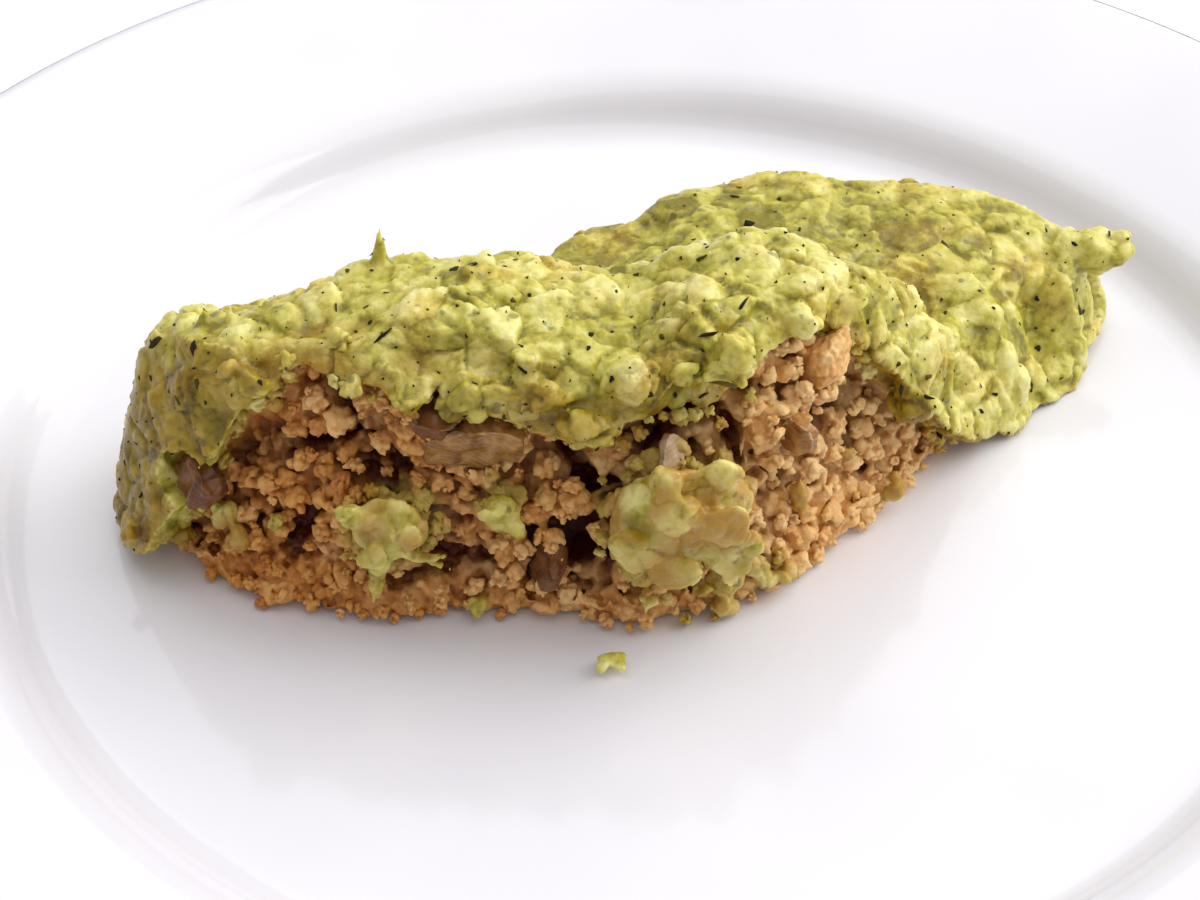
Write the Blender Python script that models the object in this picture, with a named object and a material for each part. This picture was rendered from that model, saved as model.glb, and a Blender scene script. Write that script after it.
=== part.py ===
"""A serving of shepherd's pie on its dinner plate: soya mince under a thick green herb mash.

Metres, +Z up. The origin is the centre of the plate's foot, on the table. The serving lies in the
plate's well with its long cut side, where the mince shows, towards -Y.
"""

import math

import bmesh
import bpy
import numpy as np
from mathutils import Euler, Matrix, Vector, noise

# ---- Plate: a 27 cm coupe-and-rim dinner plate --------------------------------------------------
PLATE_RADIUS = 0.135
PLATE_HEIGHT = 0.0235
WELL_FLOOR = 0.007  # height of the flat that the food lies on
WELL_RADIUS = 0.0885  # where that flat ends
SHOULDER_RADIUS = 0.0985  # where the well's wall meets the rim
SHOULDER_HEIGHT = 0.0142
WALL_THICKNESS = 0.0042
FOOT_RADIUS = 0.080  # middle of the foot ring
FOOT_WIDTH = 0.005
FOOT_RECESS = 0.0026  # how far the underside is raised inside and outside the foot
FOOT_TAPER = 0.001  # the foot is this much wider at its root on each side
RIM_START = 0.003  # width of the rounding from the well's wall to the rim
WALL_SLANT = 0.0005  # half the width of the well wall's steep middle
PLATE_SIDES = 64
CURVE_STEPS = 3  # facets on each rounded stretch of the plate's section

# ---- Serving ------------------------------------------------------------------------------------
GAP = 0.0003  # free space that touching pieces keep
FLOOR = WELL_FLOOR + GAP  # the food's underside
SKIN = 0.0004  # how much a piece is swollen to cut its neighbour
STATIONS = 66  # places round the serving's edge
SPLINE_POINTS = 24  # points of the edge's curve between two of its knots, before it is spaced evenly
HEART = (0.002, 0.009)  # the rings of the top shrink towards here

# The mince's edge on the plate, anticlockwise from the left end, and how high the mash's hem
# hangs there: x, y, hem height above the table.
EDGE = (
    (-0.0735, -0.0010, 0.0100),
    (-0.0690, -0.0140, 0.0110),
    (-0.0625, -0.0205, 0.0290),
    (-0.0530, -0.0250, 0.0440),
    (-0.0360, -0.0275, 0.0450),
    (-0.0190, -0.0265, 0.0390),
    (-0.0090, -0.0285, 0.0370),
    (0.0010, -0.0290, 0.0415),
    (0.0090, -0.0260, 0.0395),
    (0.0170, -0.0215, 0.0465),
    (0.0270, -0.0125, 0.0440),
    (0.0360, -0.0030, 0.0280),
    (0.0420, 0.0060, 0.0120),
    (0.0495, 0.0180, 0.0080),
    (0.0610, 0.0315, 0.0080),
    (0.0660, 0.0460, 0.0100),
    (0.0410, 0.0535, 0.0160),
    (0.0100, 0.0510, 0.0190),
    (-0.0110, 0.0420, 0.0160),
    (-0.0240, 0.0280, 0.0150),
    (-0.0460, 0.0210, 0.0210),
    (-0.0660, 0.0130, 0.0160),
)

# Heights of the mash's top above the table at places on it: the front ridge, the dip behind it
# and the lower heap at the back.
CREST = (
    (-0.068, -0.004, 0.0415),
    (-0.058, -0.008, 0.0465),
    (-0.047, -0.007, 0.0465),
    (-0.037, -0.004, 0.0530),
    (-0.026, -0.004, 0.0525),
    (-0.015, -0.004, 0.0500),
    (-0.005, -0.005, 0.0460),
    (0.005, -0.003, 0.0545),
    (0.015, -0.003, 0.0545),
    (0.026, -0.002, 0.0520),
    (0.035, 0.003, 0.0420),
    (-0.055, 0.012, 0.0310),
    (-0.030, 0.015, 0.0340),
    (-0.005, 0.018, 0.0300),
    (0.020, 0.020, 0.0310),
    (0.043, 0.019, 0.0275),
    (-0.010, 0.036, 0.0275),
    (0.004, 0.042, 0.0315),
    (0.020, 0.042, 0.0320),
    (0.040, 0.040, 0.0305),
    (0.056, 0.034, 0.0260),
    (0.062, 0.044, 0.0285),
)
CREST_SPREAD = 0.0075  # how far each of those heights reaches

MASH_THICKNESS = 0.0115
MINCE_STANDS_ABOVE_HEM = 0.0015
FACE_LEAN = 0.0060  # how far the cut faces lean in from foot to shoulder
MINCE_ROUND = 0.0045  # width of the mince's rounded shoulder
MASH_ROUND = 0.0095
ROUNDNESS = 2.7  # 2 is a quarter ellipse, more is squarer
LIP_AT_HIGH_HEM = 0.0030  # how far the mash stands proud of the mince
LIP_AT_LOW_HEM = 0.0065
HIGH_HEM = 0.040
HEM_ROUND = 0.0004  # the mash's underside starts this far below its hem
MASH_ROOT = (0.006, 0.009)  # how far the uncut mash reaches into the mince, and below its hem
MASH_CORE = 0.010  # height above the floor of the middle of its underside
MINCE_WALL_RINGS = 6
MASH_WALL_RINGS = 5
TOP_RINGS = 6
RELAXING_STEPS = 8


# ---- Helpers ------------------------------------------------------------------------------------
def clear_scene():
    for old in list(bpy.data.objects):
        bpy.data.objects.remove(old, do_unlink=True)


def finish_of(name, colour, roughness, metallic=0.0):
    """A plain Principled material of the piece's colour."""
    material = bpy.data.materials.new(name)
    material.use_nodes = True
    shader = material.node_tree.nodes["Principled BSDF"]
    shader.inputs["Base Color"].default_value = (*colour, 1.0)
    shader.inputs["Roughness"].default_value = roughness
    shader.inputs["Metallic"].default_value = metallic
    return material


def add_object(name, mesh, material=None):
    piece = bpy.data.objects.new(name, mesh)
    bpy.context.scene.collection.objects.link(piece)
    if material:
        mesh.materials.append(material)
    return piece


def mesh_of(name, bm):
    """The bmesh as a smooth-shaded mesh of triangles whose faces point outwards."""
    bmesh.ops.recalc_face_normals(bm, faces=bm.faces)
    bmesh.ops.triangulate(bm, faces=bm.faces)
    mesh = bpy.data.meshes.new(name)
    bm.to_mesh(mesh)
    bm.free()
    mesh.shade_smooth()
    return mesh


def skin_rings(bm, rings, start, end):
    """Joins rings of equal count with quads, and closes both ends with fans from a point each."""
    loops = [[bm.verts.new(point) for point in ring] for ring in rings]
    count = len(loops[0])
    for lower, upper in zip(loops, loops[1:]):
        for i in range(count):
            j = (i + 1) % count
            bm.faces.new((lower[i], lower[j], upper[j], upper[i]))
    for loop, tip in ((loops[0], start), (loops[-1], end)):
        hub = bm.verts.new(tip)
        for i in range(count):
            bm.faces.new((loop[i], loop[(i + 1) % count], hub))


def cut(piece, others):
    """Cuts the others out of the piece, one by one, and applies each cut."""
    for other in others:
        modifier = piece.modifiers.new("cut", "BOOLEAN")
        modifier.operation = "DIFFERENCE"
        modifier.object = other
        graph = bpy.context.evaluated_depsgraph_get()
        result = bpy.data.meshes.new_from_object(piece.evaluated_get(graph))
        piece.modifiers.clear()
        piece.data = result
    keep_largest_body(piece)


def keep_largest_body(piece):
    """Drops the slivers that a cut can leave beside the piece."""
    bm = bmesh.new()
    bm.from_mesh(piece.data)
    unseen, bodies = set(bm.verts), []
    while unseen:
        body, front = set(), [unseen.pop()]
        while front:
            vertex = front.pop()
            body.add(vertex)
            near = {edge.other_vert(vertex) for edge in vertex.link_edges} & unseen
            unseen -= near
            front.extend(near)
        bodies.append(body)
    bodies.sort(key=len)
    bmesh.ops.delete(bm, geom=[v for body in bodies[:-1] for v in body], context="VERTS")
    bm.to_mesh(piece.data)
    bm.free()


def swollen(piece, amount):
    """A hidden copy of the piece, pushed out by amount along its normals, used as a cutter."""
    mesh = piece.data.copy()
    normals = [vertex.normal.copy() for vertex in mesh.vertices]
    for vertex, normal in zip(mesh.vertices, normals):
        vertex.co += normal * amount
    cutter = add_object(piece.name + "_cutter", mesh)
    cutter.hide_render = True
    cutter.display_type = "WIRE"
    return cutter


def roughen(bm, height, spacing, offset):
    """Moves each point along its normal by smooth noise, and keeps the underside on the plate."""
    bm.normal_update()
    shift = Vector((offset, 2 * offset, 3 * offset))
    moved = [v.co + v.normal * height * noise.noise(v.co / spacing + shift) for v in bm.verts]
    for vertex, place in zip(bm.verts, moved):
        on_plate = vertex.co.z < FLOOR + GAP
        vertex.co = place
        vertex.co.z = FLOOR if on_plate else max(place.z, FLOOR)


# ---- Plate --------------------------------------------------------------------------------------
def arc(start, corner, end, steps=CURVE_STEPS):
    """Points of a rounded corner from start to end, bulging towards corner."""
    shares = [i / steps for i in range(steps + 1)]
    return [
        tuple((1 - t) ** 2 * a + 2 * t * (1 - t) * b + t * t * c for a, b, c in zip(start, corner, end))
        for t in shares
    ]


def plate_section():
    """The plate's section as (radius, height), from the middle of the top outwards and back below."""
    rim_slope = (PLATE_HEIGHT - SHOULDER_HEIGHT) / (PLATE_RADIUS - SHOULDER_RADIUS)
    wall_middle = ((WELL_RADIUS + SHOULDER_RADIUS) / 2, (WELL_FLOOR + SHOULDER_HEIGHT) / 2)
    wall_foot = (wall_middle[0] - WALL_SLANT, WELL_FLOOR)
    wall_head = (wall_middle[0] + WALL_SLANT, SHOULDER_HEIGHT)
    rim_start = (SHOULDER_RADIUS + RIM_START, SHOULDER_HEIGHT + RIM_START * rim_slope)
    edge_round = WALL_THICKNESS / 2
    edge_top = (PLATE_RADIUS - edge_round, PLATE_HEIGHT)
    edge_under = (PLATE_RADIUS - edge_round, PLATE_HEIGHT - 0.8 * WALL_THICKNESS)
    edge_tip = (PLATE_RADIUS, PLATE_HEIGHT - 0.4 * WALL_THICKNESS)
    foot_out = FOOT_RADIUS + FOOT_WIDTH / 2
    foot_in = FOOT_RADIUS - FOOT_WIDTH / 2
    under_shoulder = (SHOULDER_RADIUS + RIM_START, SHOULDER_HEIGHT - 0.8 * WALL_THICKNESS)
    under_wall = (WELL_RADIUS + WALL_THICKNESS / 2, FOOT_RECESS)
    top = [
        (WELL_RADIUS / 2, WELL_FLOOR),
        *arc((WELL_RADIUS, WELL_FLOOR), wall_foot, wall_middle),
        *arc(wall_middle, wall_head, rim_start)[1:],
        *arc(edge_top, (PLATE_RADIUS, PLATE_HEIGHT), edge_tip, 2),
    ]
    below = [
        edge_under,
        under_shoulder,
        under_wall,
        (foot_out + FOOT_TAPER, FOOT_RECESS),
        (foot_out, 0.0),
        (foot_in, 0.0),
        (foot_in - FOOT_TAPER, FOOT_RECESS),
        (foot_in / 2, FOOT_RECESS),
    ]
    return top + below


def make_plate(glaze):
    bm = bmesh.new()
    turns = [2 * math.pi * i / PLATE_SIDES for i in range(PLATE_SIDES)]
    rings = [
        [(radius * math.cos(turn), radius * math.sin(turn), height) for turn in turns]
        for radius, height in plate_section()
    ]
    skin_rings(bm, rings, (0, 0, WELL_FLOOR), (0, 0, FOOT_RECESS))
    mesh = mesh_of("plate", bm)
    return add_object("plate", mesh, glaze)


# ---- Serving ------------------------------------------------------------------------------------
def edge_stations():
    """A smooth closed curve through EDGE, at equal steps of its length: rows of x, y, hem."""
    knots = np.array(EDGE)
    before, after, beyond = np.roll(knots, 1, 0), np.roll(knots, -1, 0), np.roll(knots, -2, 0)
    spline = []
    for p0, p1, p2, p3 in zip(before, knots, after, beyond):
        for t in np.linspace(0, 1, SPLINE_POINTS, endpoint=False):
            spline.append(
                p1
                + 0.5 * t * (p2 - p0)
                + t * t * (p0 - 2.5 * p1 + 2 * p2 - 0.5 * p3)
                + t**3 * (1.5 * (p1 - p2) + 0.5 * (p3 - p0))
            )
    spline.append(spline[0])
    spline = np.array(spline)
    steps = np.hypot(*np.diff(spline[:, :2], axis=0).T)
    along = np.concatenate([[0], np.cumsum(steps)])
    wanted = np.linspace(0, along[-1], STATIONS, endpoint=False)
    return np.stack([np.interp(wanted, along, column) for column in spline.T], axis=1)


def outward(stations):
    """The unit normal of the edge at each station, pointing away from the food."""
    along = np.roll(stations[:, :2], -1, 0) - np.roll(stations[:, :2], 1, 0)
    normals = np.stack([along[:, 1], -along[:, 0]], axis=1)
    return normals / np.linalg.norm(normals, axis=1)[:, None]


def moved_in(feet, normals, distance):
    """The edge moved inwards, and relaxed where its sharp bends would make it cross itself."""
    ring = feet - normals * distance
    for _ in range(RELAXING_STEPS):
        ring = (np.roll(ring, 1, 0) + 2 * ring + np.roll(ring, -1, 0)) / 4
    return ring


def mash_top(x, y):
    """Height of the mash's top over a place on the plate: a weighted mean of the crest heights.

    The second term of the weights only counts far from all of them, where the first one fades out.
    """
    places = np.array(CREST)
    distance2 = (x - places[:, 0]) ** 2 + (y - places[:, 1]) ** 2
    weights = np.exp(-distance2 / (2 * CREST_SPREAD**2)) + 1e-9 / (distance2 + 1e-6)
    return float(weights @ places[:, 2] / weights.sum())


def wall_shares(angle):
    """How far in and how far up the rounded wall is at an angle from 0 (foot) to 90 degrees."""
    power = 2 / ROUNDNESS
    return 1 - max(math.cos(angle), 0.0) ** power, math.sin(angle) ** power


def shrunk(shoulder, share):
    """The shoulder's outline drawn in towards HEART."""
    return np.array(HEART) + (shoulder - np.array(HEART)) * share


def make_mince():
    """The filling: a slab with leaning cut sides that runs under all of the mash."""
    stations = edge_stations()
    feet, hems, normals = stations[:, :2], stations[:, 2], outward(stations)
    shoulder = moved_in(feet, normals, FACE_LEAN + MINCE_ROUND)
    heights = [
        max(mash_top(x, y) - MASH_THICKNESS, hem + MINCE_STANDS_ABOVE_HEM)
        for (x, y), hem in zip(shoulder, hems)
    ]
    rings = []
    for ring in range(MINCE_WALL_RINGS + 1):
        inward, up = wall_shares(math.pi / 2 * ring / MINCE_WALL_RINGS)
        share = (FACE_LEAN * up + MINCE_ROUND * inward) / (FACE_LEAN + MINCE_ROUND)
        places = feet + (shoulder - feet) * share
        rings.append([(x, y, FLOOR + (h - FLOOR) * up) for (x, y), h in zip(places, heights)])
    for ring in range(1, TOP_RINGS):
        share = 1 - ring / TOP_RINGS
        wall_part = share**3
        rings.append(
            [
                (x, y, wall_part * h + (1 - wall_part) * (mash_top(x, y) - MASH_THICKNESS))
                for (x, y), h in zip(shrunk(shoulder, share), heights)
            ]
        )
    bm = bmesh.new()
    tip = (*HEART, mash_top(*HEART) - MASH_THICKNESS)
    skin_rings(bm, rings, (*HEART, FLOOR), tip)
    bmesh.ops.recalc_face_normals(bm, faces=bm.faces)
    roughen(bm, height=0.0022, spacing=0.0065, offset=5.0)
    return bm


def make_mash():
    """The topping: from the hem up the outside and over the top. Its inside is cut by the mince."""
    stations = edge_stations()
    normals = outward(stations)
    hems = np.maximum(stations[:, 2], FLOOR)
    low = np.clip((HIGH_HEM - hems) / (HIGH_HEM - FLOOR), 0, 1)
    lips = LIP_AT_HIGH_HEM + (LIP_AT_LOW_HEM - LIP_AT_HIGH_HEM) * low
    feet = stations[:, :2] + normals * lips[:, None]
    shoulder = moved_in(feet, normals, FACE_LEAN + MASH_ROUND)
    tops = [mash_top(x, y) for x, y in shoulder]
    wall = []
    for i in range(STATIONS):
        share_up = (hems[i] - FLOOR) / (tops[i] - FLOOR)
        start = math.asin(min(share_up, 1.0) ** (ROUNDNESS / 2))
        column = []
        for ring in range(MASH_WALL_RINGS + 1):
            angle = start + (math.pi / 2 - start) * ring / MASH_WALL_RINGS
            inward, up = wall_shares(angle)
            share = (FACE_LEAN * up + MASH_ROUND * inward) / (FACE_LEAN + MASH_ROUND)
            x, y = feet[i] + (shoulder[i] - feet[i]) * share
            column.append((x, y, FLOOR + (tops[i] - FLOOR) * up))
        wall.append(column)
    rings = [list(ring) for ring in zip(*wall)]
    underside = []
    for past_mince, drop in (MASH_ROOT, (0.0, HEM_ROUND)):
        reaches = (lips + past_mince)[:, None] * normals
        underside.append(
            [(x - dx, y - dy, max(z - drop, FLOOR)) for (x, y, z), (dx, dy) in zip(rings[0], reaches)]
        )
    for ring in range(1, TOP_RINGS):
        rings.append([(x, y, mash_top(x, y)) for x, y in shrunk(shoulder, 1 - ring / TOP_RINGS)])
    bm = bmesh.new()
    skin_rings(bm, underside + rings, (*HEART, FLOOR + MASH_CORE), (*HEART, mash_top(*HEART)))
    bmesh.ops.recalc_face_normals(bm, faces=bm.faces)
    roughen(bm, height=0.0024, spacing=0.0085, offset=1.0)
    return bm


def lump(name, centre, size, tilt=(0, 0, 0), squareness=2.0, height=0.0012, spacing=0.005, fine=3):
    """A rounded lump of the given full size. Squareness over 2 flattens its sides, as on cut dice."""
    bm = bmesh.new()
    bmesh.ops.create_icosphere(bm, subdivisions=fine, radius=1.0)
    for vertex in bm.verts:
        norm = sum(abs(c) ** squareness for c in vertex.co) ** (1 / squareness)
        vertex.co = Vector(c / norm * side / 2 for c, side in zip(vertex.co, size))
    turn = Euler([math.radians(angle) for angle in tilt]).to_matrix().to_4x4()
    bmesh.ops.transform(bm, matrix=Matrix.Translation(centre) @ turn, verts=bm.verts)
    roughen(bm, height, spacing, offset=centre[0] * 1000)
    return add_object(name, mesh_of(name, bm))


# Mash that has stuck to the cut side, and a crumb of it on the plate: centre, size, tilt in degrees.
MASH_DABS = {
    "mash_dab_front": ((0.0025, -0.0270, 0.0275), (0.0220, 0.0130, 0.0240), (16, 12, 8)),
    "mash_smear_left": ((-0.0365, -0.0265, 0.0250), (0.0130, 0.0080, 0.0150), (12, 18, 0)),
    "mash_smear_middle": ((-0.0215, -0.0265, 0.0275), (0.0070, 0.0060, 0.0080), (12, 0, 0)),
    "mash_crumb": ((-0.0070, -0.0350, 0.0087), (0.0062, 0.0040, 0.0026), (0, 0, 10)),
}

# Softened onion that shows in the cut side: centre, full size and tilt in degrees.
ONION_PIECES = {
    "onion_left": ((-0.0645, -0.0190, 0.0262), (0.0084, 0.0066, 0.0060), (10, 14, -25)),
    "onion_middle": ((-0.0250, -0.0232, 0.0350), (0.0140, 0.0060, 0.0080), (14, -6, 4)),
    "onion_high": ((-0.0300, -0.0215, 0.0418), (0.0070, 0.0060, 0.0054), (14, 10, 0)),
    "onion_in_hem": ((-0.0175, -0.0250, 0.0445), (0.0044, 0.0050, 0.0058), (14, 0, 0)),
    "onion_low": ((-0.0172, -0.0265, 0.0172), (0.0050, 0.0056, 0.0070), (5, 20, 0)),
    "onion_right": ((0.0175, -0.0175, 0.0318), (0.0046, 0.0055, 0.0064), (20, 0, 35)),
    "onion_pale": ((0.0030, -0.0262, 0.0372), (0.0052, 0.0060, 0.0052), (20, 35, 10)),
    "soya_chunk": ((0.0225, -0.0115, 0.0410), (0.0080, 0.0060, 0.0120), (24, 8, 38)),
}

# Hollows in the cut side, where crumbs have fallen away.
HOLLOWS = {
    "hollow_under_mash": ((-0.0030, -0.0262, 0.0405), (0.0110, 0.0120, 0.0050), (0, -28, 0)),
    "hollow_low": ((-0.0120, -0.0275, 0.0205), (0.0085, 0.0110, 0.0052), (0, -18, 0)),
    "hollow_left": ((-0.0470, -0.0260, 0.0340), (0.0070, 0.0100, 0.0050), (0, 20, 0)),
}


def make_serving(mince_finish, mash_finish, onion_finish):
    mince = add_object("mince_filling", mesh_of("mince_filling", make_mince()), mince_finish)
    mash = add_object("mash_topping", mesh_of("mash_topping", make_mash()), mash_finish)
    whole_mince = swollen(mince, SKIN)

    pockets = []
    for name, (centre, size, tilt) in ONION_PIECES.items():
        onion = lump(name, centre, size, tilt, squareness=3.2, height=0.0004, fine=2)
        onion.data.materials.append(onion_finish)
        pockets.append(swollen(onion, SKIN))
    hollows = []
    for name, (centre, size, tilt) in HOLLOWS.items():
        hollow = lump(name, centre, size, tilt, fine=2)
        hollow.hide_render = True
        hollow.display_type = "WIRE"
        hollows.append(hollow)
    cut(mash, [whole_mince, *pockets])
    cut(mince, [*pockets, *hollows])

    whole_mash = swollen(mash, SKIN)
    for name, (centre, size, tilt) in MASH_DABS.items():
        fine = 3 if max(size) > 0.01 else 2
        dab = lump(name, centre, size, tilt, height=0.08 * max(size), spacing=0.007, fine=fine)
        dab.data.materials.append(mash_finish)
        cut(dab, [whole_mince, whole_mash, *pockets])


def main():
    clear_scene()
    make_plate(finish_of("white_glazed_porcelain", (0.86, 0.86, 0.87), 0.12))
    make_serving(
        finish_of("soya_mince", (0.42, 0.22, 0.09), 0.6),
        finish_of("green_mash", (0.48, 0.46, 0.10), 0.45),
        finish_of("soft_onion", (0.30, 0.17, 0.08), 0.25),
    )


main()
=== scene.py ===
"""A serving of vegetarian shepherd's pie on a white dinner plate.

Soya mince lies in a cut block under a thick, lumpy green mash full of dried herbs. The plate is
thrown first, then the mince is heaped on it, and the mash is spread and pressed over the mince.
Metres, +Z up, and the long cut side of the serving faces -Y.
"""

import itertools
import math

import bmesh
import bpy
import numpy as np
from mathutils import Matrix, Vector, noise
from mathutils.bvhtree import BVHTree
from mathutils.kdtree import KDTree


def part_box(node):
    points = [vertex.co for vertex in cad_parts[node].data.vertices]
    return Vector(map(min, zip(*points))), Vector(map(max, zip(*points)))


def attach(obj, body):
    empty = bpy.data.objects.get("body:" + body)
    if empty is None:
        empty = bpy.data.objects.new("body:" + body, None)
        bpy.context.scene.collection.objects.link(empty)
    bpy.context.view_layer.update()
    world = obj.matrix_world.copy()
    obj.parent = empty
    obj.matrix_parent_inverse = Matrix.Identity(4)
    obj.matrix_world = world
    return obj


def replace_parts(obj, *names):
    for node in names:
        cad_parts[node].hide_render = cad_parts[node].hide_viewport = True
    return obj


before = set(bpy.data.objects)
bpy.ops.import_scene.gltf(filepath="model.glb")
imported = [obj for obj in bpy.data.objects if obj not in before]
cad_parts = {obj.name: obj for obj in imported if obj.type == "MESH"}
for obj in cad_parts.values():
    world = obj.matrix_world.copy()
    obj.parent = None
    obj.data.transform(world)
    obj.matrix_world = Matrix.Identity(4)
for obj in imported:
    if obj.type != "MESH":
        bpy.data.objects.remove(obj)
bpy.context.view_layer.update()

# ---- The plate ----------------------------------------------------------------------------------
# A 27 cm dinner plate of white porcelain. It is jiggered on a wheel, so all its sections are round,
# dipped in clear glaze, and fired standing on its foot ring, which is wiped bare.
MM = 0.001
PLATE_SIDES = 192
ROUNDING_STEPS = 6
CONTACT_GAP = 0.3 * MM  # free space that the frame keeps between pieces that touch

plate_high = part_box("plate")[1]
rim_radius = plate_high.x / MM
rim_height = plate_high.z / MM
well_floor = (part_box("mince_filling")[0].z - CONTACT_GAP) / MM
FOOT_RECESS = 2.6
# Corners of the half section from the middle of the well over the rim and back below, in mm:
# radius, height, and how far from the corner its rounding starts.
PLATE_CORNERS = (
    (0.0, well_floor, 0.0),
    (91.6, well_floor, 4.3),
    (96.6, 14.3, 4.3),
    (rim_radius - 0.9, rim_height, 2.4),
    (rim_radius, rim_height - 1.8, 0.9),
    (rim_radius - 1.6, rim_height - 3.6, 1.4),
    (101.5, 10.8, 6.0),
    (90.6, FOOT_RECESS, 3.0),
    (83.5, FOOT_RECESS, 0.6),
    (82.5, 0.0, 0.5),
    (77.5, 0.0, 0.5),
    (76.5, FOOT_RECESS, 0.6),
    (0.0, FOOT_RECESS, 0.0),
)


def linear(hex_colour):
    """An sRGB hex colour such as "FFE0C0" as linear red, green, blue and alpha."""
    shares = [int(hex_colour[i : i + 2], 16) / 255 for i in (0, 2, 4)]
    return [c / 12.92 if c <= 0.04045 else ((c + 0.055) / 1.055) ** 2.4 for c in shares] + [1.0]


def add_node(tree, kind, settings=None, inputs=None, stops=None):
    """Adds a shader node. Inputs are values, or the sockets to link; a node there stands for its first
    output. Stops are a ramp's places and colours."""
    made = tree.nodes.new("ShaderNode" + kind)
    for name, value in (settings or {}).items():
        setattr(made, name, value)
    for name, value in (inputs or {}).items():
        if isinstance(value, bpy.types.Node):
            value = value.outputs[0]
        if isinstance(value, bpy.types.NodeSocket):
            tree.links.new(value, made.inputs[name])
        else:
            made.inputs[name].default_value = value
    for i, (place, colour) in enumerate(stops or ()):
        stop = made.color_ramp.elements[i] if i < 2 else made.color_ramp.elements.new(place)
        stop.position = place
        stop.color = linear(colour)
    return made


def new_material(name):
    """An empty material with its output, its node tree and a function that adds nodes to it."""
    material = bpy.data.materials.new(name)
    material.use_nodes = True
    tree = material.node_tree
    tree.nodes.clear()
    output = add_node(tree, "OutputMaterial")

    def add(kind, settings=None, inputs=None, stops=None):
        return add_node(tree, kind, settings, inputs, stops)

    def surface(shader):
        tree.links.new(shader.outputs[0], output.inputs["Surface"])

    return material, add, surface


def dress(mesh, name, material):
    """Makes a smooth-shaded piece of a finished mesh. It rides on the frame's only body."""
    mesh.materials.clear()
    mesh.materials.append(material)
    mesh.shade_smooth()
    piece = bpy.data.objects.new(name, mesh)
    mesh.name = name
    bpy.context.scene.collection.objects.link(piece)
    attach(piece, "root")
    return piece


def rounded_section(corners):
    """The corners as a line of points, each corner replaced by a curve that starts short of it."""
    line = []
    for i, (radius, height, rounding) in enumerate(corners):
        corner = Vector((radius, height))
        if not rounding:
            line.append(corner)
            continue
        before = Vector(corners[i - 1][:2]) - corner
        after = Vector(corners[i + 1][:2]) - corner
        start = corner + before.normalized() * rounding
        end = corner + after.normalized() * rounding
        for step in range(ROUNDING_STEPS + 1):
            t = step / ROUNDING_STEPS
            line.append(start * (1 - t) ** 2 + corner * 2 * t * (1 - t) + end * t * t)
    return line


def lathed(line, sides):
    """Points and faces of the line turned round the plate's axis; its ends lie on that axis."""
    turns = np.arange(sides) * 2 * math.pi / sides
    rings = [
        np.stack([p.x * np.cos(turns), p.x * np.sin(turns), np.full(sides, p.y)], axis=1)
        for p in line[1:-1]
    ]
    points = np.concatenate([*rings, [[0, 0, line[0].y]], [[0, 0, line[-1].y]]]) * MM
    top, bottom = len(points) - 2, len(points) - 1
    last = (len(rings) - 1) * sides
    faces = []
    for i in range(sides):
        j = (i + 1) % sides
        faces.append((top, i, j))
        faces.append((bottom, last + j, last + i))
        for start in range(0, last, sides):
            faces.append((start + i, start + sides + i, start + sides + j, start + j))
    return points, faces


# Glazed porcelain: the glaze is a clear, glassy skin over a dense white body, so it mirrors the
# lights sharply and its edges go a trace cooler. It pools in soft waves a few centimetres long.
def porcelain_material():
    material, add, surface = new_material("white_glazed_porcelain")
    place = add("TexCoord").outputs["Object"]
    wave = add("TexNoise", inputs={"Vector": place, "Scale": 1 / 0.030, "Detail": 1.0})
    speck = add("TexNoise", inputs={"Vector": place, "Scale": 1 / 0.004, "Detail": 3.0})
    body = add("ValToRGB", inputs={"Fac": wave}, stops=((0.35, "EAE8ED"), (0.65, "EEECF0")))
    bump = add("Bump", inputs={"Height": wave, "Strength": 0.12, "Distance": 0.4 * MM})
    gloss = add("MapRange", inputs={"Value": speck, "To Min": 0.07, "To Max": 0.13})
    height = add("SeparateXYZ", inputs={"Vector": place}).outputs["Z"]
    bare = add("MapRange", inputs={"Value": height, "From Min": 0.5 * MM, "From Max": 0.1 * MM})
    glazed = add(
        "BsdfPrincipled", inputs={"Base Color": body, "Roughness": gloss, "Normal": bump, "IOR": 1.5}
    )
    biscuit = add("BsdfPrincipled", inputs={"Base Color": linear("DED8CC"), "Roughness": 0.85})
    surface(add("MixShader", inputs={0: bare, 1: glazed, 2: biscuit}))
    return material


plate_points, plate_faces = lathed(rounded_section(PLATE_CORNERS), PLATE_SIDES)
plate_mesh = bpy.data.meshes.new("plate")
plate_mesh.from_pydata(plate_points.tolist(), [], plate_faces)
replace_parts(dress(plate_mesh, "dinner_plate", porcelain_material()), "plate")

# ---- The mince ----------------------------------------------------------------------------------
# Soya mince: nuggets of textured soya 2 to 4 mm across, cooked in gravy until they cling together in
# clusters. The block is cut, so its sides are ragged, with cracks where clusters came apart.
MINCE_VOXEL = 0.36 * MM
MINCE_TRIANGLES = 180000
NUGGET_SHAPES = 20
NUGGET_TRIANGLES = 360
CRUMB_TRIANGLES = 200
GRANULE = 3.2 * MM
CORE_DEPTH = 3.4 * MM  # how far the middles of the lowest granules lie below the block's outline
HEM_GAP = 2.2 * MM  # the core is drawn in this far under the mash too, so a gap shows below it
GRAVY_FILL = 0.5  # how much shallower the core lies where the mince is soaked through
CLUSTER = 9 * MM
CLUSTER_GAP = 3.0 * MM  # depth of the gaps between some of the clusters
CLUSTER_RISE = 1.0 * MM  # how far clusters stand out or lie back
COLLAR = 1.8 * MM  # nuggets this near to a piece that lies in the mince overlap its rim
# The painted shade in the mince's crevices is darkest at this depth below the block's outline.
SHOWN_DEPTH = 5 * MM  # at this depth below the block's outline the mince is darkest
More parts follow.
